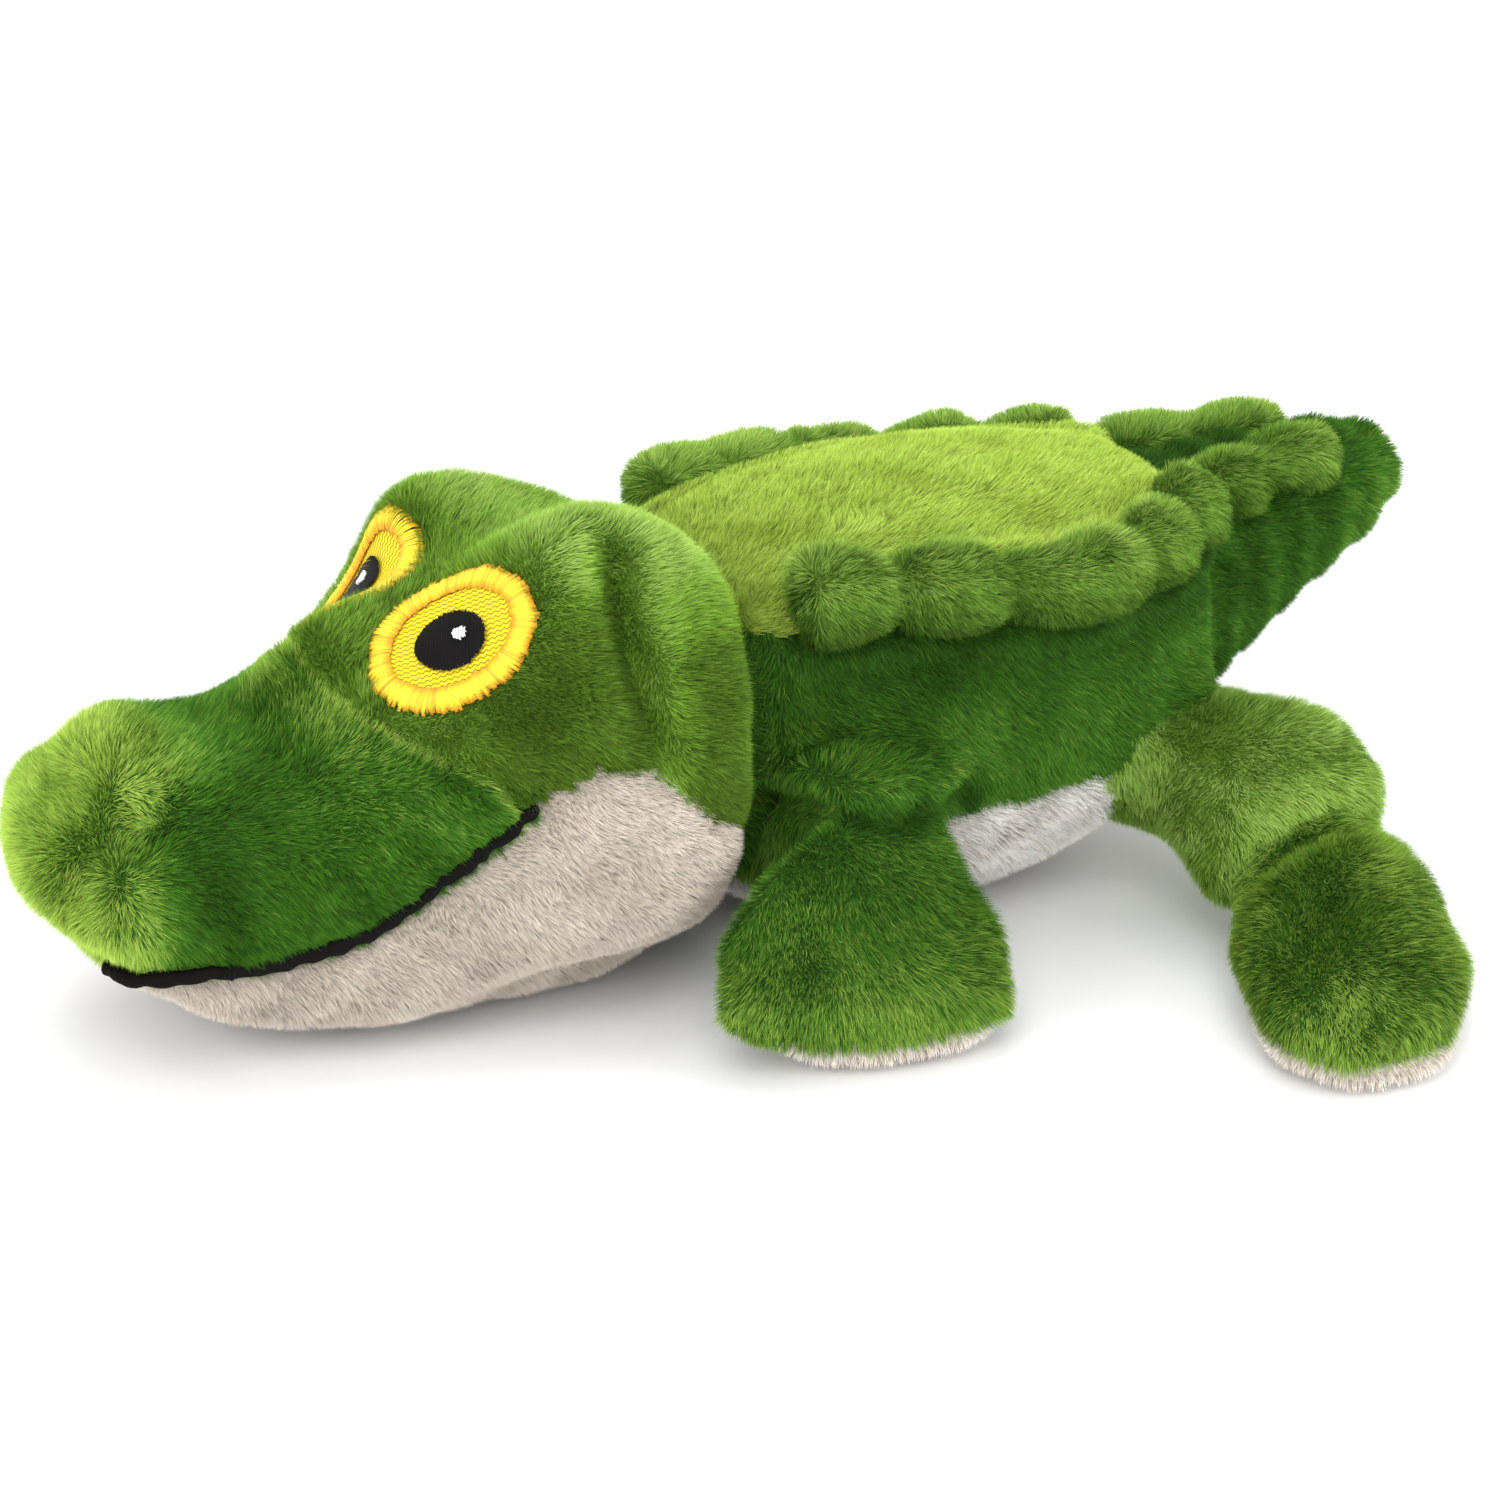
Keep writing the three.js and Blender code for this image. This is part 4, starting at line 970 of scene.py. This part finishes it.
DRAPE_REACH = 0.03
DRAPE_SHARE = 0.4  # of the skin's own direction in the way that a stitch is lifted
# For each satin part: its label, slot, middle and half sizes in the eye's frame, and lift.
SATIN_PARTS = {
    "pupil": ("pupil_satin", "black_thread", (0.0002, 0.0010), (0.0079, 0.0061), 0.0016),
    "eye_highlight": ("highlight_stitch", "white_thread", (0.0027, 0.0002), (0.0015, 0.0012), 0.0023),
}


class EyeFrame:
    """Middle, axes and facing of an eye: moved and turned on the brow from where the CAD eye lies."""

    def __init__(self, name):
        side = SIDES[name]
        low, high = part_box(f"{name}_eye_border")
        along, aside, roll = EYE_PLACES[name]
        self.facing = unit(np.array(EYE_FACING) * (1, side, 1))
        uphill = unit(np.array([1.0, 0, 0]) - self.facing * self.facing[0])
        outward = np.cross(self.facing, uphill) * side
        self.centre = (np.array(low) + np.array(high)) / 2 + uphill * along + outward * aside
        turn = Quaternion(Vector(self.facing), math.radians(side * roll))
        self.uphill = np.array(turn @ Vector(uphill))
        self.outward = np.cross(self.facing, self.uphill) * side

    def at(self, u, v):
        return self.centre + np.outer(u, self.uphill) + np.outer(v, self.outward)

    def local(self, p):
        away = p - self.centre
        return away @ self.uphill, away @ self.outward, away @ self.facing


def eye_frame(name):
    return body.setdefault(f"{name}_eye", EyeFrame(name))


def keep_clear_of_eyes(p):
    """Leaves the two eye patches free of pile."""
    inside = np.zeros(len(p), bool)
    for name in SIDES:
        u, v, w = eye_frame(name).local(p)
        egg_half = RING_SHORT * (1 + EGG * u / RING_LONG)
        far = (u / (RING_LONG - PILE_UNDER_BORDER)) ** 2 + (v / (egg_half - PILE_UNDER_BORDER)) ** 2
        inside |= (far < 1) & (np.abs(w) < EYE_DEPTH)
    return ~inside


def draped(points, facing, lift):
    """Lays points on the body skin along a facing, then lifts them off it."""
    tree = body["tree"]
    away = Vector(facing)
    out = []
    for place, rise in zip(points, np.broadcast_to(lift, len(points))):
        hit, normal, _, _ = tree.ray_cast(Vector(place) + away * DRAPE_REACH, -away)
        if hit is None:
            hit, normal, _, _ = tree.find_nearest(Vector(place))
        if normal.dot(away) < 0:
            normal = -normal
        out.append(np.array(hit + (away * (1 - DRAPE_SHARE) + normal * DRAPE_SHARE).normalized() * rise))
    return np.array(out)


def egg(angle, long_half, short_half):
    return long_half * np.cos(angle), short_half * np.sin(angle) * (1 + EGG * np.cos(angle))


def stitch_mesh(name, starts, ends, width, height, up, shade):
    """A raised satin stitch from each start to its end, with a map of its tone and of the way along it."""
    steps = np.array([0, 0.18, 0.5, 0.82, 1])
    rises = np.array([0, 0.75, 1, 0.75, 0]) * height
    along = unit(ends - starts)
    across = unit(np.cross(along, up)) * width / 2
    rings = starts[:, None] + (ends - starts)[:, None] * steps[None, :, None] + up * rises[None, :, None]
    middle = rings + up * height * 0.4
    points = np.stack([rings - across[:, None], middle, rings + across[:, None]], 2)
    one = []
    for i in range(0, 3 * (len(steps) - 1), 3):
        one.extend([(i, i + 1, i + 4, i + 3), (i + 1, i + 2, i + 5, i + 4)])
    one = np.array(one)
    faces = (np.arange(len(starts))[:, None, None] * 3 * len(steps) + one).reshape(-1, 4)
    mesh = bpy.data.meshes.new(name)
    mesh.from_pydata(points.reshape(-1, 3).tolist(), [], faces.tolist())
    mesh.update()
    layer = mesh.uv_layers.new(name=PATTERN_MAP)
    lane = np.array([-0.012, 0, 0.012])[one % 3]
    tone = shade[:, None, None] + lane[None]
    reach = np.broadcast_to(np.clip(steps[one // 3], 0.01, 0.99)[None], tone.shape)
    layer.data.foreach_set("uv", np.stack([tone, reach], -1).astype(np.float32).ravel())
    smooth(mesh)
    return link(name, mesh)


def eye_patch(name, made):
    """The flat filled middle, with a map in metres for its zigzag rows."""
    eye = eye_frame(name)
    angle = np.arange(PATCH_SIDES) / PATCH_SIDES * 2 * math.pi
    u, v = [0.0], [0.0]
    for ring in range(1, PATCH_RINGS + 1):
        halves = ((half - PATCH_INSET) * ring / PATCH_RINGS for half in (RING_LONG, RING_SHORT))
        ring_u, ring_v = egg(angle, *halves)
        u.extend(ring_u)
        v.extend(ring_v)
    verts = draped(eye.at(u, v), eye.facing, PATCH_LIFT)
    pairs = [(i, (i + 1) % PATCH_SIDES) for i in range(PATCH_SIDES)]
    faces = [(0, 1 + i, 1 + j) for i, j in pairs]
    for inner in range(1, 1 + (PATCH_RINGS - 1) * PATCH_SIDES, PATCH_SIDES):
        outer = inner + PATCH_SIDES
        faces.extend((inner + i, outer + i, outer + j, inner + j) for i, j in pairs)
    if SIDES[name] < 0:
        faces = [face[::-1] for face in faces]
    mesh = bpy.data.meshes.new(f"{name}_eye_twill")
    mesh.from_pydata(verts.tolist(), [], faces)
    layer = mesh.uv_layers.new(name=TWILL_MAP)
    for loop in mesh.loops:
        layer.data[loop.index].uv = (u[loop.vertex_index], v[loop.vertex_index])
    ob = link(mesh.name, mesh)
    wall = ob.modifiers.new("Wall", "SOLIDIFY")
    wall.thickness = PATCH_WALL
    wall.offset = -1
    apply_modifiers(ob)
    smooth(ob.data)
    sew_on(ob, made, f"{name}_eye_patch")


def eye_border(name, made, width):
    """Radial satin stitches with ragged ends, in two layers."""
    eye = eye_frame(name)
    rng = np.random.default_rng(700 + SIDES[name])
    count = BORDER_STITCHES
    angle = np.arange(count) / count * 2 * math.pi
    out_ragged, in_ragged = (rng.normal(0, stray, count) for stray in BORDER_RAGGED)
    outer = egg(angle + rng.normal(0, BORDER_STRAY, count), RING_LONG, RING_SHORT)
    inner = egg(angle, RING_LONG - width, RING_SHORT - width)
    lift = BORDER_LIFT + BORDER_LAYER * (np.arange(count) % 2)
    starts, ends = (
        draped(eye.at(u * (1 + ragged / RING_LONG), v * (1 + ragged / RING_SHORT)), eye.facing, rise)
        for (u, v), ragged, rise in ((outer, out_ragged, lift - BORDER_DIP), (inner, in_ragged, lift))
    )
    tone = np.clip(0.6 + rng.normal(0, 0.25, count), *TONES_KEPT)
    ob = stitch_mesh(f"{name}_eye_satin", starts, ends, *BORDER_THREAD, eye.facing, tone)
    sew_on(ob, made, f"{name}_eye_border")


def satin_part(name, part, made):
    """A patch of close satin stitches across its short way."""
    eye = eye_frame(name)
    label, slot, shift, halves, lift = SATIN_PARTS[part]
    rng = np.random.default_rng(720 + SIDES[name] + len(part))
    count = int(halves[0] * 2 / SATIN_PITCH)
    u = np.linspace(-0.97, 0.97, count)
    reach = np.sqrt(1 - u ** 2) * halves[1]
    u = u * halves[0] + shift[0]
    lifts = lift + SATIN_LAYER * (np.arange(count) % 2)
    starts, ends = (
        draped(eye.at(u - SATIN_SLANT * v, v + SATIN_SLANT * u + rng.normal(0, SATIN_RAGGED, count)),
               eye.facing, lifts)
        for v in (shift[1] - reach, shift[1] + reach)
    )
    tone = np.clip(0.5 + rng.normal(0, 0.15, count), *TONES_KEPT)
    ob = stitch_mesh(f"{name}_{label}", starts, ends, *SATIN_THREAD, eye.facing, tone)
    sew_on(ob, made, f"{name}_{part}")


# Frills

FRILL_PUFF = 0.0006
FRILL_INSET = 0.0014
# Half thickness of a back frill along its row, both in millimetres.
FRILL_LUMPS = {
    -1: [
        (-4, 6.0), (4, 8.6), (11, 9.7), (18, 8.2), (21, 5.6), (22.5, 4.9), (24, 5.6), (28, 8.2), (35, 9.3),
        (42, 8.2), (45, 6.0), (46.5, 5.2), (48, 5.8), (53, 7.6), (62, 8.0), (74, 9.2), (80, 7.6), (83, 5.4),
        (86, 7.0), (92, 9.2), (97, 7.4), (99.5, 5.4), (102, 7.2), (109, 8.8), (118, 7.0),
    ],
    1: [
        (-4, 6.0), (4, 8.0), (11, 8.8), (18, 7.8), (21, 6.4), (24, 7.6), (31, 9.0), (38, 8.0), (42, 6.0),
        (46, 8.2), (54, 9.8), (62, 8.6), (66, 6.2), (68, 5.6), (70, 6.4), (74, 8.8), (81, 10.4), (87, 8.6),
        (90.5, 6.4), (92.5, 5.6), (95, 6.6), (99, 8.6), (105, 9.6), (112, 8.6), (118, 7.0),
    ],
}
FRILL_STEPS = 240
FRILL_SHARES = 40
FRILL_BINS = 60
FRILL_BIN = 2  # this and the next four are in millimetres
FRILL_HALF = 8
FRILL_START = (1, 6)
FRILL_END = (-113, -108)
RIGHT_END = (90, 104)
FRILL_CHANGE = (0.55, 1.35)
FRILL_RISE = 0.0006
RIGHT_END_DROP = 0.0026
TAIL_FRILL_SCALE = (1, 0.92, 0.84)
TAIL_FRILL_DROP = 0.0045
TAIL_FRILL_STRETCH = {-1: 1, 1: 1.12}
ROLL_BINS = 15
ROLL_HEIGHT = 0.083
ROLL_HALF = 0.009


def scalloped(p, side):
    """Gives a back frill lumps of unequal length, by a thickness of its own for each place along it."""
    row = frill_row(side)
    t = np.linspace(0, len(row) - 1, FRILL_STEPS)
    spine = np.stack([np.interp(t, np.arange(len(row)), row[:, i]) for i in range(3)], 1)
    gone = np.concatenate([[0], np.cumsum(np.linalg.norm(np.diff(spine, axis=0), axis=1))])
    shares = np.array_split(p, FRILL_SHARES)
    nearest = np.concatenate([np.argmin(((q[:, None] - spine) ** 2).sum(2), 1) for q in shares])
    away = p - spine[nearest]
    along = gone[nearest] / MM
    bins = np.clip(along / FRILL_BIN, 0, FRILL_BINS - 1).astype(int)
    far = np.linalg.norm(away, axis=1) / MM
    wide = np.array([np.percentile(far[bins == i], 85) if (bins == i).any() else FRILL_HALF
                     for i in range(FRILL_BINS)])
    wide = np.convolve(np.pad(wide, 1, mode="edge"), (0.25, 0.5, 0.25), "valid")
    lumps = np.array(FRILL_LUMPS[side])
    target = np.interp(along, lumps[:, 0], lumps[:, 1])
    target *= 1 + 0.05 * waves(p, 0.018, 40 + side)[:, 0]
    ends = np.minimum(between(along, *FRILL_START), between(-along, *FRILL_END))
    change = target / np.interp(along / FRILL_BIN - 0.5, np.arange(FRILL_BINS), wide)
    scale = 1 + (np.clip(change, *FRILL_CHANGE) - 1) * ends
    rise = FRILL_RISE - RIGHT_END_DROP * between(along, *RIGHT_END) * max(side, 0)
    return spine[nearest] + away * scale[:, None] + np.outer(rise, (0, 0, 1))


def slimmed(p, side):
    """Makes a tail frill a little flatter and lower; the right one also reaches further forward."""
    middle = (p.min(0) + p.max(0)) / 2
    out = middle + (p - middle) * TAIL_FRILL_SCALE - np.array([0, 0, TAIL_FRILL_DROP])
    rear = p[:, 0].max()
    out[:, 0] = rear + (out[:, 0] - rear) * TAIL_FRILL_STRETCH[side]
    return out


def painted_roll_light(p):
    """Painted light on top of a roll and painted shade beneath it, from each place's height over the middle of
    the roll.
    """
    edges = np.linspace(p[:, 0].min(), p[:, 0].max(), ROLL_BINS + 1)
    which = np.clip(np.searchsorted(edges, p[:, 0]) - 1, 0, ROLL_BINS - 1)
    middle = np.array([p[which == i, 2].mean() if (which == i).any() else ROLL_HEIGHT
                       for i in range(ROLL_BINS)])
    centres = (edges[1:] + edges[:-1]) / 2
    return lambda q: 0.42 + 0.38 * np.clip((q[:, 2] - np.interp(q[:, 0], centres, middle)) / ROLL_HALF, -1, 1)


# Mouth

MOUTH_VOXEL = 0.0007
MOUTH_STEPS = 36
MOUTH_FRONT = (0.095, 0.130)
MOUTH_FADE = (0.134, 0.148)  # where the line passes from the skin to its own place at the nose
MOUTH_TIP = (-0.0215, -0.0140)
MOUTH_SWELL, FRONT_SWELL, RAGGED_SWELL, RAGGED_WAVE = 0.0002, 0.0004, 0.0004, 0.0042
NOSE_PUSH, NOSE_SPREAD, NOSE_LIFT = 0.0042, 0.0010, 0.0026
BESIDE_HEAD = 0.09


def onto_skin(p, side, radius):
    """Moves that bring the line of the frame onto the stuffed skin, at the height that the photograph shows."""
    line = MOUTH_FRAME
    xs = np.linspace(line[0, 0], line[-1, 0], MOUTH_STEPS)
    moves = []
    for x in xs:
        y, z = (np.interp(-x, -line[:, 0], line[:, i]) for i in (1, 2))
        beside = Vector((x, side * BESIDE_HEAD, mouth_height(x)))
        hit, normal, _, _ = body["tree"].ray_cast(beside, Vector((0, -side, 0)))
        place = hit + normal * radius
        moves.append((0, place.y - side * y, place.z - z))
    moves = np.array(moves)
    moves[1:-1] = (moves[:-2] + moves[1:-1] * 2 + moves[2:]) / 4
    return np.stack([np.interp(-p[:, 0], -xs, moves[:, i]) for i in range(3)], 1)


# Operators

NECK_BEND = ("torso", "neck", (-0.005, 0, 0.05), (-0.028, 0, 0.05))
HEAD_BEND = ("neck", "head", (-0.036, 0, 0.05), (-0.062, 0, 0.05))
TAIL_BEND = ("torso", "tail", (0.0885, 0, 0.056), (0.112, 0, 0.056))
# For each limb on the right: two places that its bend carries but that this script does not use, and where its
# pile is brushed from.
LEG_PLACES = ((-0.012, 0.056, 0.041), (-0.012, 0.074, 0.032), (-0.012, 0.040, 0.050))
THIGH_PLACES = ((0.076, 0.036, 0.031), (0.076, 0.052, 0.031), (0.076, 0.020, 0.040))
FOOT_PLACES = ((0.084, 0.080, 0.020), (0.084, 0.098, 0.020), (0.084, 0.070, 0.030))


def settings():
    return bpy.context.scene.crocodile_sizes, bpy.context.scene.crocodile_colours


def finish_piece(ob, made, bend, nodes):
    """Dresses a piece and hands it to the frame: it rides one body, or, given a bend, is left in place with no
    body.
    """
    dress(ob, made)
    if isinstance(bend, str):
        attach(ob, bend)
    else:
        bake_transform(ob)
    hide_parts(*nodes)


def sewn_panel(name, pile, made, seed, bend, keep=None):
    sizes, _ = settings()
    ob = panel_piece(name, sizes)
    grow_pile(ob, sizes, pile, seed, keep)
    finish_piece(ob, made, bend, [part[name] for part in (PANELS, FILLINGS) if name in part])


class CROC_OT_skin(bpy.types.Operator):
    """Stuff the cloth of the body, head, tail and legs"""
    bl_idname = "crocodile.skin"
    bl_label = "Stuffed skin"

    def execute(self, context):
        sizes, _ = settings()
        body_skin(sizes)
        return {"FINISHED"}


class CROC_OT_torso(bpy.types.Operator):
    """Sew the back, side, belly and neck panels and raise their pile"""
    bl_idname = "crocodile.torso"
    bl_label = "Torso panels"

    def execute(self, context):
        _, colours = settings()
        back = plush("back_pile", colours.back, tint=(0.90, 0.96, 0.60))
        side = plush("side_pile", colours.side)
        white = plush("white_pile", colours.white, dark=0.72, light=0.8, tint=WHITE)
        body["side_material"], body["white_material"] = side, white
        sewn_panel("back", PILES["back"], back, 11, NECK_BEND)
        sewn_panel("left_side", PILES["side"], side, 21, NECK_BEND)
        sewn_panel("right_side", PILES["side"], side, 31, NECK_BEND)
        sewn_panel("belly", PILES["belly"], white, 41, NECK_BEND)
        sewn_panel("neck", PILES["neck"], side, 51, NECK_BEND)
        return {"FINISHED"}


class CROC_OT_head(bpy.types.Operator):
    """Sew the snout, crown and jaw panels and raise their pile"""
    bl_idname = "crocodile.head"
    bl_label = "Head panels"

    def execute(self, context):
        _, colours = settings()
        snout = plush("snout_pile", colours.snout, light=0.75, tint=(0.82, 0.92, 0.42))
        crown = plush("crown_pile", colours.crown, tint=(0.84, 0.92, 0.55))
        body["crown_material"] = crown
        sewn_panel("snout", PILES["snout"], snout, 61, "head", keep_clear_of_eyes)
        sewn_panel("crown", PILES["crown"], crown, 71, HEAD_BEND, keep_clear_of_eyes)
        sewn_panel("jaw", PILES["jaw"], body["white_material"], 81, HEAD_BEND)
        return {"FINISHED"}


class CROC_OT_tail(bpy.types.Operator):
    """Sew the tail and raise its pile"""
    bl_idname = "crocodile.tail"
    bl_label = "Tail"

    def execute(self, context):
        sewn_panel("tail", PILES["tail"], body["side_material"], 91, TAIL_BEND)
        return {"FINISHED"}


class CROC_OT_legs(bpy.types.Operator):
    """Sew the four legs and their soles and raise their pile"""
    bl_idname = "crocodile.legs"
    bl_label = "Legs"

    def execute(self, context):
        green, white, light = body["side_material"], body["white_material"], body["crown_material"]
        for name, side in SIDES.items():
            leg, thigh, foot = f"front_{name}_leg", f"rear_{name}_thigh", f"rear_{name}_foot"
            leg_at, thigh_at, foot_at = (
                [(x, side * y, z) for x, y, z in places] for places in (LEG_PLACES, THIGH_PLACES, FOOT_PLACES))
            leg_bend = ("torso", leg, *leg_at[:2])
            thigh_bend = ("torso", thigh, *thigh_at[:2])
            foot_bend = (thigh, foot, *foot_at[:2])
            leg_brush, foot_brush = limb_brush(leg_at[2], side), limb_brush(foot_at[2], side)
            thigh_brush = limb_brush(thigh_at[2], side, down=0.5)
            leg_pile = dict(PILES["side"], brush=leg_brush, shade=PAW_SHADE)
            thigh_pile = dict(PILES["side"], brush=thigh_brush, shade=flat_shade(0.74))
            foot_pile = dict(PILES["side"], brush=foot_brush, shade=flat_shade(0.80))
            seed = 100 + 50 * (side + 1)
            sewn_panel(leg, leg_pile, green, seed, leg_bend)
            sewn_panel(f"front_{name}_sole", PILES["sole"], white, seed + 10, leg_bend)
            sewn_panel(thigh, thigh_pile, light, seed + 20, thigh_bend)
            sewn_panel(foot, foot_pile, green, seed + 30, foot_bend)
            sewn_panel(f"rear_{name}_sole", PILES["sole"], white, seed + 40, foot_bend)
        return {"FINISHED"}


class CROC_OT_frills(bpy.types.Operator):
    """Stuff the scalloped frills of the back and tail and raise their pile"""
    bl_idname = "crocodile.frills"
    bl_label = "Frills"

    def execute(self, context):
        sizes, colours = settings()
        made = plush("frill_pile", colours.frill, tint=(0.86, 0.94, 0.50))
        for name, side in SIDES.items():
            brush = toward(0.55, side * 0.8, -0.5)
            kinds = ((f"{name}_frill", scalloped, NECK_BEND), (f"{name}_tail_frill", slimmed, TAIL_BEND))
            for index, (node, shaped, bend) in enumerate(kinds):
                ob = stuffed(node + "_roll", [node], sizes.frill_voxel, FRILL_PUFF, 3)
                p = shaped(points_of(ob.data) - normals_of(ob.data) * FRILL_INSET, side)
                set_points(ob.data, p)
                # The frill's pile takes painted light on top and painted shade beneath.
                rolled = pile(3.4, 10, 0.8, brush, painted_roll_light(p), swirl=0.30, clump=0.18)
                grow_pile(ob, sizes, rolled, 400 + 20 * (side + 1) + 7 * index)
                finish_piece(ob, made, bend, [node])
        return {"FINISHED"}


class CROC_OT_eyes(bpy.types.Operator):
    """Stitch the two eyes: filled patch, satin border, pupil and highlight"""
    bl_idname = "crocodile.eyes"
    bl_label = "Eyes"

    def execute(self, context):
        sizes, colours = settings()
        twill = zigzag("eye_filling_thread", colours.eye, colours.twill)
        satin = banded("eye_border_thread", colours.border, colours.orange)
        black = banded("black_satin_thread", colours.thread, colours.thread, gloss=0.12)
        white = banded("white_thread", (0.99, 0.99, 0.99), (0.92, 0.92, 0.92))
        for name in SIDES:
            eye_patch(name, twill)
            eye_border(name, satin, sizes.border_width)
            satin_part(name, "pupil", black)
            satin_part(name, "eye_highlight", white)
        return {"FINISHED"}


class CROC_OT_mouth(bpy.types.Operator):
    """Sew the ragged black mouth line"""
    bl_idname = "crocodile.mouth"
    bl_label = "Mouth line"

    def execute(self, context):
        sizes, colours = settings()
        ob = merged_copy("mouth_line", ["mouth_piping"])
        remesh = ob.modifiers.new("Remesh", "REMESH")
        remesh.mode = "VOXEL"
        remesh.voxel_size = MOUTH_VOXEL
        apply_modifiers(ob)
        p, n = points_of(ob.data), normals_of(ob.data)
        front = between(-p[:, :1], *MOUTH_FRONT)
        tip = between(-np.abs(p[:, 1]), *MOUTH_TIP)
        swell = MOUTH_SWELL + FRONT_SWELL * front + RAGGED_SWELL * waves(p, RAGGED_WAVE, 3)[:, :1]
        left, right = (onto_skin(p, side, sizes.piping_radius) for side in (-1, 1))
        onto = np.where(p[:, 1:2] < 0, left, right)
        fade = between(-p[:, :1], *MOUTH_FADE)
        aside = NOSE_SPREAD * np.sign(p[:, 1]) * (1 - tip)
        ahead = np.stack([NOSE_PUSH * tip, aside, np.full(len(p), NOSE_LIFT)], 1)
        set_points(ob.data, p + n * swell * (1 - tip)[:, None] + onto * (1 - fade) + ahead * fade)
        smooth(ob.data)
        made = thread("mouth_thread", colours.thread, 0.8, faded=0, gloss=0.1)
        sew_on(ob, made, "mouth_piping")
        return {"FINISHED"}


class CROC_OT_squeaker(bpy.types.Operator):
    """Give the squeaker inside the body its moulded plastic"""
    bl_idname = "crocodile.squeaker"
    bl_label = "Squeaker"

    def execute(self, context):
        made = thread("squeaker_plastic", (0.93, 0.93, 0.91), 0.35, 0.15, 300)
        for part in ("base", "bellows", "cap", "reed_plug", "reed"):
            dress(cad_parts[f"squeaker_{part}"], made)
        return {"FINISHED"}


# Stage: for each lamp its place, size and power
LAMPS = {
    "key": ((-0.9, -1.3, 1.7), 1.4, 20),
    "fill": ((1.3, -1.1, 0.45), 1.4, 15),
    "side": ((-1.6, -0.2, 0.7), 1.2, 9),
    "top": ((0.1, 0.5, 2.0), 1.6, 15),
    "low": ((0.1, -1.7, 0.12), 1.0, 8),
}
LAMP_AIM = (0, 0, 0.04)
CAMERA_PLACE = (-0.3138, -0.5784, 0.3263)
CAMERA_AIM = (0.0037, 0.0200, 0.0247)
CAMERA_LENS = 79.2
CAMERA_SENSOR = 36
CAMERA_CLIP = 0.02
FLOOR_SIZE = 8
FLOOR_DROP = 0.0002
PAPER = (0.92, 0.92, 0.92, 1)
SKY_STRENGTH = 0.9


def place_and_aim(ob, place, aim):
    ob.location = place
    ob.rotation_euler = (Vector(aim) - Vector(place)).to_track_quat("-Z", "Y").to_euler()


class CROC_OT_stage(bpy.types.Operator):
    """Lay the pale floor and set the lamps and the camera"""
    bl_idname = "crocodile.stage"
    bl_label = "Stage"

    def execute(self, context):
        scene = bpy.context.scene
        scene.view_settings.view_transform = "Standard"
        bpy.ops.object.select_all(action="DESELECT")
        bpy.ops.mesh.primitive_plane_add(size=FLOOR_SIZE, location=(0, 0, -FLOOR_DROP))
        floor = bpy.context.object
        floor.name = "floor"
        floor.data.transform(floor.matrix_world)
        floor.matrix_world = Matrix.Identity(4)
        dress(floor, Recipe("floor_paper", "BsdfDiffuse", Color=PAPER).made)
        world = bpy.data.worlds.new("studio")
        scene.world = world
        world.use_nodes = True
        background = world.node_tree.nodes["Background"]
        background.inputs["Color"].default_value = (*WHITE, 1)
        background.inputs["Strength"].default_value = SKY_STRENGTH
        for name, (place, size, power) in LAMPS.items():
            lamp = bpy.data.lights.new(name, "AREA")
            lamp.size = size
            lamp.energy = power
            place_and_aim(link(name, lamp), place, LAMP_AIM)
        camera = bpy.data.cameras.new("camera")
        camera.sensor_width = CAMERA_SENSOR
        camera.lens = CAMERA_LENS
        camera.clip_start = CAMERA_CLIP
        eye = link("camera", camera)
        place_and_aim(eye, CAMERA_PLACE, CAMERA_AIM)
        scene.camera = eye
        return {"FINISHED"}


class CROC_PT_panel(bpy.types.Panel):
    """Sizes, colours and the steps that build the toy"""
    bl_idname = "CROC_PT_panel"
    bl_label = "Plush crocodile"
    bl_space_type = "VIEW_3D"
    bl_region_type = "UI"
    bl_category = "Crocodile"

    def draw(self, context):
        for group in (context.scene.crocodile_sizes, context.scene.crocodile_colours):
            for name in group.__annotations__:
                self.layout.prop(group, name)
        for operator in OPERATORS:
            self.layout.operator(operator.bl_idname)


OPERATORS = (CROC_OT_skin, CROC_OT_torso, CROC_OT_head, CROC_OT_tail, CROC_OT_legs, CROC_OT_frills,
             CROC_OT_eyes, CROC_OT_mouth, CROC_OT_squeaker, CROC_OT_stage)
CLASSES = (CrocodileSizes, CrocodileColours, *OPERATORS, CROC_PT_panel)


def register():
    for cls in CLASSES:
        bpy.utils.register_class(cls)
    bpy.types.Scene.crocodile_sizes = PointerProperty(type=CrocodileSizes)
    bpy.types.Scene.crocodile_colours = PointerProperty(type=CrocodileColours)


def unregister():
    del bpy.types.Scene.crocodile_colours
    del bpy.types.Scene.crocodile_sizes
    for cls in reversed(CLASSES):
        bpy.utils.unregister_class(cls)


def main():
    register()
    bpy.ops.crocodile.skin()
    bpy.ops.crocodile.torso()
    bpy.ops.crocodile.head()
    bpy.ops.crocodile.tail()
    bpy.ops.crocodile.legs()
    bpy.ops.crocodile.frills()
    bpy.ops.crocodile.eyes()
    bpy.ops.crocodile.mouth()
    bpy.ops.crocodile.squeaker()
    bpy.data.objects.remove(body["object"])
    bpy.ops.crocodile.stage()


if __name__ == "__main__":
    main()
